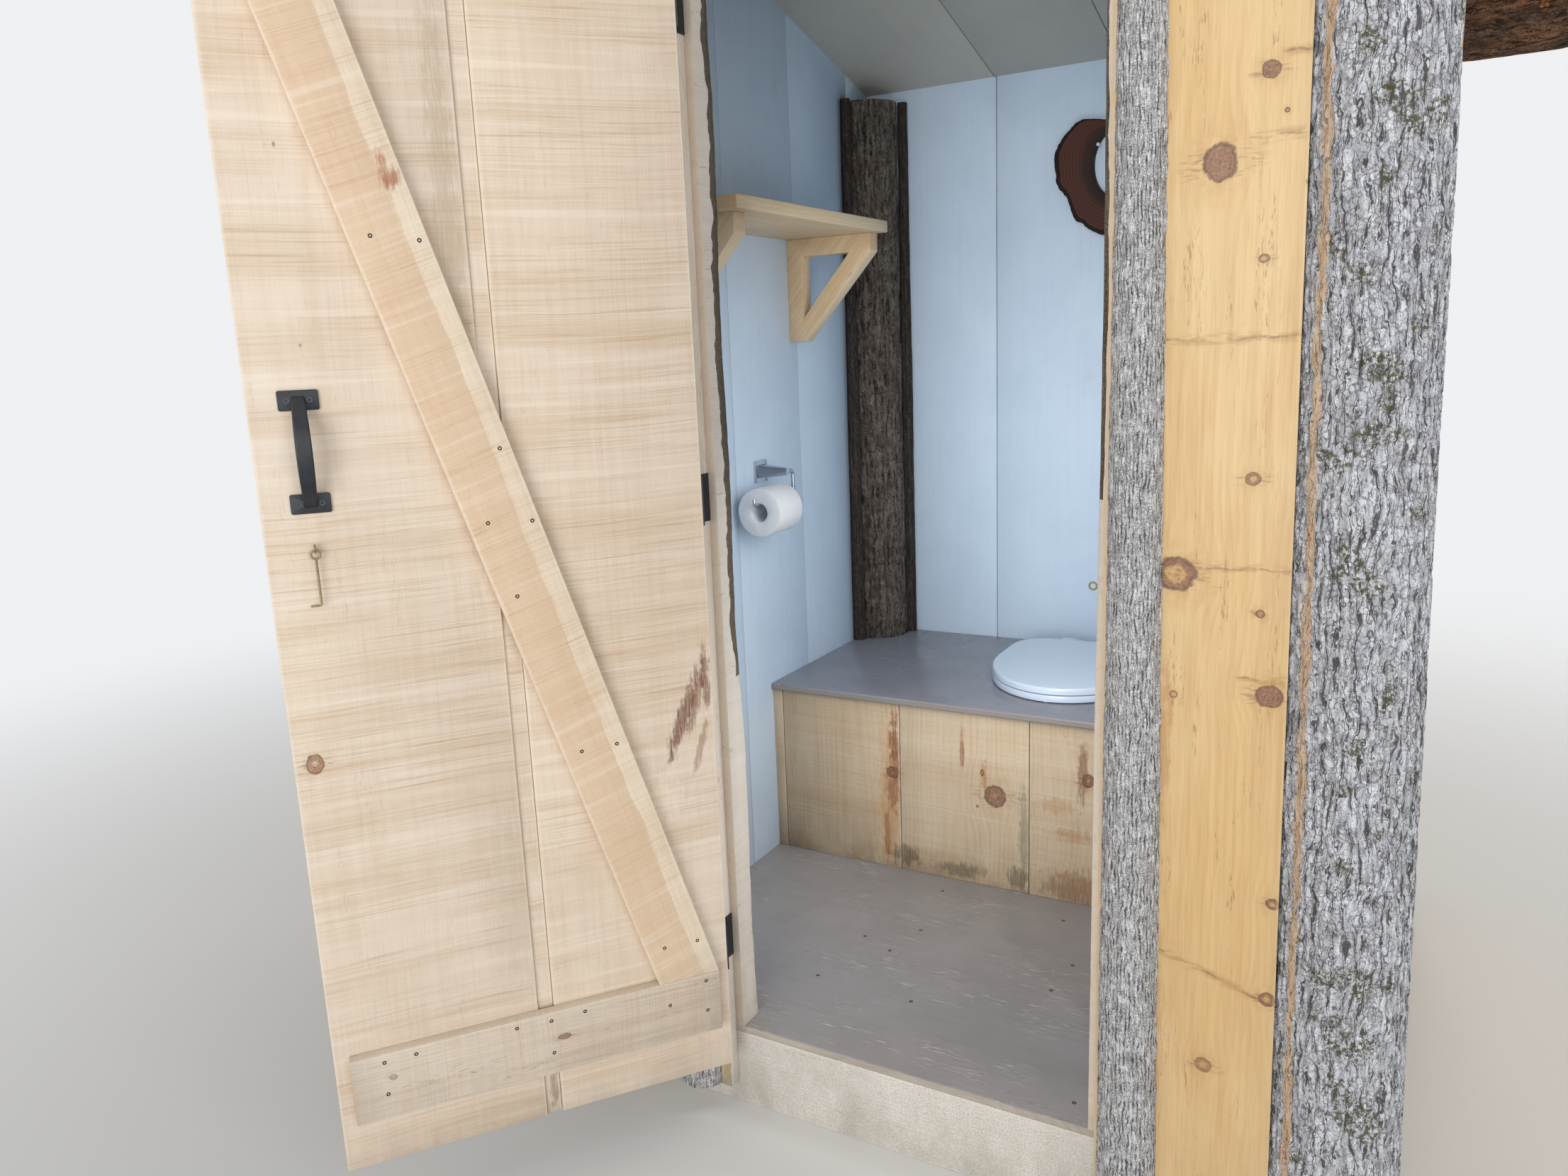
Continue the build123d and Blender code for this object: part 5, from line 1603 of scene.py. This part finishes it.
@dataclass(frozen=True)
class Carried:
    """CAD nodes that keep their own shape and get a finish."""

    node: str
    finish: Finish
    slot: str
    body: Body
    ease: float = 0.0

    def build(self) -> None:
        """Copies the node smooth, with eased edges, and lets the copy stand for it."""
        bm = merged_copy(self.node)
        if self.ease:
            sharp = [e for e in bm.edges if len(e.link_faces) == 2 and e.calc_face_angle(0.0) > 0.7]
            round_off(bm, sharp, self.ease)
        if isinstance(self.finish, TissueFinish):
            roll = bm.verts.layers.float_vector.new("roll")
            low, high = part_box(self.node)
            middle = (low + high) / 2
            for vert in bm.verts:
                away = vert.co - middle
                vert[roll] = (math.hypot(away.x, away.z), away.y, math.atan2(away.z, away.x) * 0.05)
        keep_piece(bm, "shaped_" + self.node, [self.finish], self.body, self.slot, [self.node], SHAPE_SMOOTH)


@dataclass
class Fastenings:
    """Floor and roof screws."""

    floor_level: float = 0.150
    floor_spots: tuple[tuple[float, float], ...] = (
        (-0.246, -0.289), (-0.178, -0.042), (0.145, -0.321), (0.092, -0.060), (0.156, -0.220),
        (-0.070, -0.465), (-0.178, -0.319), (-0.263, -0.460), (0.268, -0.613), (-0.154, -0.219))
    roof_rows: int = 9
    roof_columns: int = 12
    roof_margin: float = 0.05
    column_share: float = 0.92

    def build(self) -> None:
        """Builds the screws."""
        up = Vector((0, 0, 1))
        floor = [(Vector((x, y, self.floor_level)), up) for x, y in self.floor_spots]
        ScrewSet("floor_screws", Body.HOUSE, "grey_paint", DARK_SCREW, 0.004, heads=floor).build()
        roof = Surface("roof_sheets")
        low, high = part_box("roof_sheets")
        heads = []
        depth = high.y - low.y - 2 * self.roof_margin
        for row in range(self.roof_rows):
            y = low.y + self.roof_margin + depth * row / (self.roof_rows - 1)
            for column in range(self.roof_columns):
                x = low.x + (column + self.column_share) * (high.x - low.x) / self.roof_columns
                found = roof.under(x, y)
                if found:
                    heads.append(found)
        ScrewSet("roof_screws", Body.HOUSE, "roof_metal", SCREW_STEEL, 0.007, 0.003, heads=heads).build()


@dataclass(frozen=True)
class Lamp:
    """A soft lamp that points at a target and isn't seen itself; square unless tall is given."""

    name: str
    place: Place
    target: Place
    size: float
    watts: float
    tall: float = 0.0
    beam: float = 180.0

    def build(self) -> None:
        """Hangs the lamp."""
        data = bpy.data.lights.new(self.name, "AREA")
        data.size, data.energy, data.spread = self.size, self.watts, math.radians(self.beam)
        if self.tall:
            data.shape, data.size_y = "RECTANGLE", self.tall
        lamp = bpy.data.objects.new(self.name, data)
        lamp.visible_camera = False
        aim = (Vector(self.target) - Vector(self.place)).to_track_quat("-Z", "Y").to_matrix().to_4x4()
        lamp.matrix_world = Matrix.Translation(self.place) @ aim
        bpy.context.scene.collection.objects.link(lamp)


LAMPS = (
    Lamp("key", (-2.6, -4.6, 4.4), (0.1, 0.0, 1.0), size=3.4, watts=40),
    Lamp("fill", (4.6, -3.2, 2.6), (0.2, 0.0, 1.0), size=3.2, watts=70),
    Lamp("low front", (1.2, -8.8, 1.7), (0.0, 0.0, 1.1), size=4.5, watts=350),
    Lamp("back", (1.0, 5.2, 3.6), (0.0, 0.0, 1.0), size=3.4, watts=130),
    Lamp("left wall", (0.30, -0.36, 0.70), (-0.62, -0.25, 0.42), size=0.4, watts=0.5, beam=80.0),
    Lamp("doorway", (0.14, -0.34, 1.18), (-0.42, 0.50, 0.55), size=0.45, watts=3.8, tall=0.6),
)


@dataclass(frozen=True)
class Studio:
    """Camera, floor, lights and world."""

    camera_place: Place = (0.6875, -2.175, 1.310)
    heading: float = 30.0
    dip: float = 11.76
    roll: float = -2.33
    lens: float = 26.11
    sky: Colour = tint(246, 247, 249)
    sky_level: float = 0.42
    seen_level: float = 0.94
    floor_colour: Colour = tint(228, 228, 226)
    floor_size: float = 30.0
    floor_drop: float = 0.0005
    floor_fade: tuple[float, float] = (1.3, 5.0)

    def build(self) -> None:
        """Sets up the studio."""
        scene = bpy.context.scene
        scene.view_settings.view_transform = "Standard"
        self._camera(scene)
        self._floor()
        self._world(scene)
        for lamp in LAMPS:
            lamp.build()

    def _camera(self, scene: bpy.types.Scene) -> None:
        """The camera at the photograph's place."""
        data = bpy.data.cameras.new("camera")
        data.lens, data.sensor_width, data.sensor_fit = self.lens, 36.0, "HORIZONTAL"
        data.clip_start, data.clip_end = 0.05, 60.0
        camera = bpy.data.objects.new("camera", data)
        turn = Matrix.Rotation(math.radians(self.heading), 4, "Z")
        turn @= Matrix.Rotation(math.radians(90 - self.dip), 4, "X")
        turn @= Matrix.Rotation(math.radians(self.roll), 4, "Z")
        camera.matrix_world = Matrix.Translation(self.camera_place) @ turn
        scene.collection.objects.link(camera)
        scene.camera = camera

    def _floor(self) -> None:
        """A wide pale floor."""
        bm = bmesh.new()
        bmesh.ops.create_grid(bm, x_segments=1, y_segments=1, size=self.floor_size)
        mesh = bpy.data.meshes.new("studio_floor")
        bm.to_mesh(mesh)
        bm.free()
        mesh.materials.append(self._floor_finish())
        floor = bpy.data.objects.new("studio_floor", mesh)
        floor.location.z = -self.floor_drop
        bpy.context.scene.collection.objects.link(floor)

    def _floor_finish(self) -> bpy.types.Material:
        """A pale floor that runs into the plain background far from the middle."""
        made, s = open_material("studio floor")
        feeds = {"Base Color": self.floor_colour, "Roughness": 0.9, "Specular IOR Level": 0.2}
        shader = s.add("BsdfPrincipled", feeds)
        glow = s.add("Emission", {0: self.sky, 1: self.seen_level})
        point = s.add("TexCoord", {}).outputs["Object"]
        away = s.add("VectorMath", {0: point}, operation="LENGTH").outputs[1]
        fade = s.spread(away, *self.floor_fade)
        blend = s.add("MixShader", {0: fade, 1: shader.outputs[0], 2: glow.outputs[0]})
        s.add("OutputMaterial", {0: blend.outputs[0]})
        return made

    def _world(self, scene: bpy.types.Scene) -> None:
        """A plain pale world, brighter where the camera or a reflection sees it."""
        world = bpy.data.worlds.new("studio")
        world.use_nodes = True
        world.node_tree.nodes.clear()
        s = Sketch(world.node_tree)
        rays = s.add("LightPath", {}).outputs
        seen = s.maths("MAXIMUM", rays["Is Camera Ray"],
                       s.maths("MAXIMUM", rays["Is Glossy Ray"], rays["Is Transmission Ray"]))
        strength = s.times_plus(seen, self.seen_level - self.sky_level, self.sky_level)
        background = s.add("Background", {0: self.sky, 1: strength})
        s.add("OutputWorld", {0: background.outputs[0]})
        scene.world = world


# How far each jamb's live corner is set back, at heights up the jamb.
RIGHT_WANE = ((0.15, 0.0006), (0.85, 0.0008), (1.0, 0.005), (1.15, 0.0075), (1.4, 0.009), (1.75, 0.0035),
              (2.1, 0.002))
LEFT_WANE = ((0.15, 0.001), (0.70, 0.001), (0.85, 0.0032), (1.3, 0.004), (1.7, 0.0034), (2.1, 0.0042))
FACES_FRONT = (0.0, 1.0, 0.0)


def board_work() -> Iterable[Boarding]:
    """Every set of boards on the house itself."""
    yield Boarding("front_right_board", YELLOW_BOARD, "yellow_pine", seed=21, second=JAMB_BOARD,
                   flat=FACES_FRONT)
    yield Boarding("front_left_board", FOOT_BOARD, "yellow_pine", seed=22, second=JAMB_BOARD,
                   flat=FACES_FRONT)
    yield Boarding("front_head_board", WALL_BOARD, "yellow_pine", seed=23)
    for index, side in enumerate(("left", "right", "back")):
        yield Boarding(side + "_wall_boards", WALL_BOARD, "yellow_pine", seed=30 + index)
    for index, node in enumerate(("left_lining", "right_lining", "back_lining", "front_lining")):
        yield Boarding(node, COOL_LIT_WHITE_PAINT, "white_paint", ease=0.001, seed=40 + index)
    yield Boarding("ceiling_boards", SHADED_CEILING_PAINT, "white_paint", ease=0.001, seed=44)
    for index, node in enumerate(("head_jamb", "bench_bearers", "wall_girts", "ceiling_battens")):
        yield Boarding(node, PLAIN_PINE, "plain_pine", seed=50 + index)
    yield LiveJamb("right_jamb", JAMB_BOARD, "plain_pine", seed=55, second=LIVE_EDGE, side=1, edge=-1,
                   bark_from=1.1, wane=RIGHT_WANE)
    yield LiveJamb("left_jamb", JAMB_BOARD, "plain_pine", seed=56, second=LIVE_EDGE, side=-1, edge=1,
                   bark_from=0.78, slope=6.0, patches=0.0, wane=LEFT_WANE)
    yield Boarding("shelf_board", SHELF_PINE, "plain_pine", ease=0.003, seed=57)
    yield Boarding("shelf_brackets", SHELF_PINE, "plain_pine", seed=58)
    yield Boarding("bench_front", BENCH_BOARD, "knotty_pine", seed=59)
    yield Boarding("bench_top", BENCH_PAINT, "grey_paint", ease=0.003, seed=60)
    yield Boarding("floor_deck", FLOOR_PAINT, "grey_paint", ease=0.001, seed=61, second=PLY_EDGE)
    yield Boarding("rim_boards", RIM_BOARD, "weathered_rim", ease=0.002, seed=62)
    yield Boarding("floor_joists", RIM_BOARD, "plain_pine", seed=63)
    for index, node in enumerate(("rafters", "roof_boards", "fascia_boards")):
        yield Boarding(node, ROOF_BOARD, "plain_pine", seed=64 + index)


def carried_nodes() -> Iterable[Carried]:
    """Nodes whose own shape is shown."""
    yield Carried("roof_sheets", ROOF_METAL, "roof_metal", Body.HOUSE)
    yield Carried("seat_ring", ENAMEL, "seat_enamel", Body.HOUSE, 0.003)
    yield Carried("seat_hinge", HINGE_PLASTIC, "seat_enamel", Body.HOUSE, 0.001)
    yield Carried("seat_lid", ENAMEL, "seat_enamel", Body.LID)
    yield Carried("door_pulls", BLACK_IRON, "black_iron", Body.DOOR, 0.0006)
    yield Carried("door_hinge_leaves", BLACK_IRON, "black_iron", Body.DOOR)
    yield Carried("jamb_hinge_leaves", BLACK_IRON, "black_iron", Body.HOUSE)
    yield Carried("hook_eye", DULL_WIRE, "dull_wire", Body.DOOR)
    yield Carried("screw_eye", DULL_WIRE, "dull_wire", Body.HOUSE)
    yield Carried("latch_hook", DULL_WIRE, "dull_wire", Body.HOOK)
    yield Carried("paper_holder", CHROME, "holder_chrome", Body.HOUSE, 0.0006)
    yield Carried("paper_roll", TISSUE, "tissue", Body.ROLL, 0.002)


@dataclass
class WallSlice:
    """A slice of a hollow log on the back wall, its jagged bark still on, hung on a pin."""

    node: str = "wall_disc"
    middle: tuple[float, float] = (-0.013, 1.680)
    radii: tuple[float, ...] = (0.125, 0.128, 0.124, 0.122, 0.139, 0.134,
                                0.118, 0.103, 0.122, 0.138, 0.134, 0.128)
    hollow: tuple[float, float] = (0.003, 1.702)
    hollow_radii: tuple[float, float] = (0.045, 0.070)
    growth: float = 0.131
    sides: int = 180
    loops: int = 12
    jag: float = 0.006
    pin: tuple[float, float] = (-0.0285, 1.744)
    pin_head: float = 0.0042
    pin_shank: float = 0.0012

    def build(self) -> None:
        """Builds the slice and its pin."""
        low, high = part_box(self.node)
        bm = bmesh.new()
        trunk = bm.verts.layers.float_vector.new("trunk")
        bark = bm.verts.layers.float_vector.new("bark")
        bmesh.ops.create_grid(bm, x_segments=self.sides, y_segments=self.loops, size=0.5)
        for vert in bm.verts:
            turn, share = math.tau * (vert.co.x + 0.5), vert.co.y + 0.5
            spot, heart = self._spot(turn, share)
            vert.co = Vector((spot[0], low.y + self._dish(turn, share), spot[1]))
            vert[trunk], vert[bark] = heart, (1.0, 0.0, 0.0)
        bmesh.ops.remove_doubles(bm, verts=bm.verts, dist=1e-6)
        made = bmesh.ops.extrude_face_region(bm, geom=bm.faces[:])["geom"]
        for vert in (g for g in made if isinstance(g, bmesh.types.BMVert)):
            vert.co.y = high.y
        bmesh.ops.recalc_face_normals(bm, faces=bm.faces)
        for face in bm.faces:
            face.material_index = int(abs(face.normal.y) > 0.6)
        keep_piece(bm, "slice_wall_disc", [SAPLING_BARK, SLICE_FACE], Body.HOUSE, "disc_wood", [self.node],
                   SLICE_SMOOTH)
        self._pin(low.y, high.y)

    def _spot(self, turn: float, share: float) -> tuple[tuple[float, float], Vector]:
        """The place between the slice's hollow (share 0) and its bark (share 1), and where it grew."""
        step = turn / math.tau * len(self.radii)
        first = int(step) % len(self.radii)
        blend = (1 - math.cos(math.pi * (step - int(step)))) / 2
        radius = self.radii[first] * (1 - blend) + self.radii[(first + 1) % len(self.radii)] * blend
        around = Vector((math.cos(turn), math.sin(turn), 0.0))
        jag = 0.5 + 0.5 * noise.noise(around * 5.5) + 0.35 * noise.noise(around * 17)
        radius -= 0.001 + self.jag * max(0.0, jag) * share
        outer = (self.middle[0] + radius * around.x, self.middle[1] + radius * around.y)
        wide, high = self.hollow_radii
        inner = (self.hollow[0] + wide * around.x, self.hollow[1] + high * around.y)
        spot = tuple(i * (1 - share) + o * share for i, o in zip(inner, outer))
        return spot, around * self.growth * (0.42 + 0.58 * share)

    def _dish(self, turn: float, share: float) -> float:
        """How far the sawn face lies back: it dips at the hollow and at the bark."""
        rough = 0.0006 * (1 + noise.noise(Vector((math.cos(turn) * 4, math.sin(turn) * 4, share * 6))))
        return rough + 0.006 * max(0.0, 0.12 - share) / 0.12 + 0.002 * max(0.0, share - 0.94) / 0.06

    def _pin(self, front: float, wall: float) -> None:
        """The pin that the slice hangs on."""
        bm = bmesh.new()
        shank = wall - front + self.pin_head
        x, z = self.pin
        lying = Matrix.Translation((x, wall - shank / 2, z)) @ Matrix.Rotation(math.radians(90), 4, "X")
        bmesh.ops.create_cone(bm, cap_ends=True, segments=12, radius1=self.pin_shank,
                              radius2=self.pin_shank, depth=shank, matrix=lying)
        bmesh.ops.create_uvsphere(bm, u_segments=16, v_segments=10, radius=self.pin_head,
                                  matrix=Matrix.Translation((x, front - self.pin_head / 2, z)))
        keep_piece(bm, "slice_pin", [ENAMEL], Body.HOUSE, "seat_enamel", (), SLICE_SMOOTH)


def main() -> None:
    """Builds the outhouse's looks round the frame."""
    logging.basicConfig(level=logging.INFO, format="%(name)s %(message)s")
    Studio().build()
    for boards in board_work():
        boards.build()
    LogWork().build()
    Door().build()
    for carried in carried_nodes():
        carried.build()
    WallSlice().build()
    Fastenings().build()


if __name__ == "__main__":
    main()
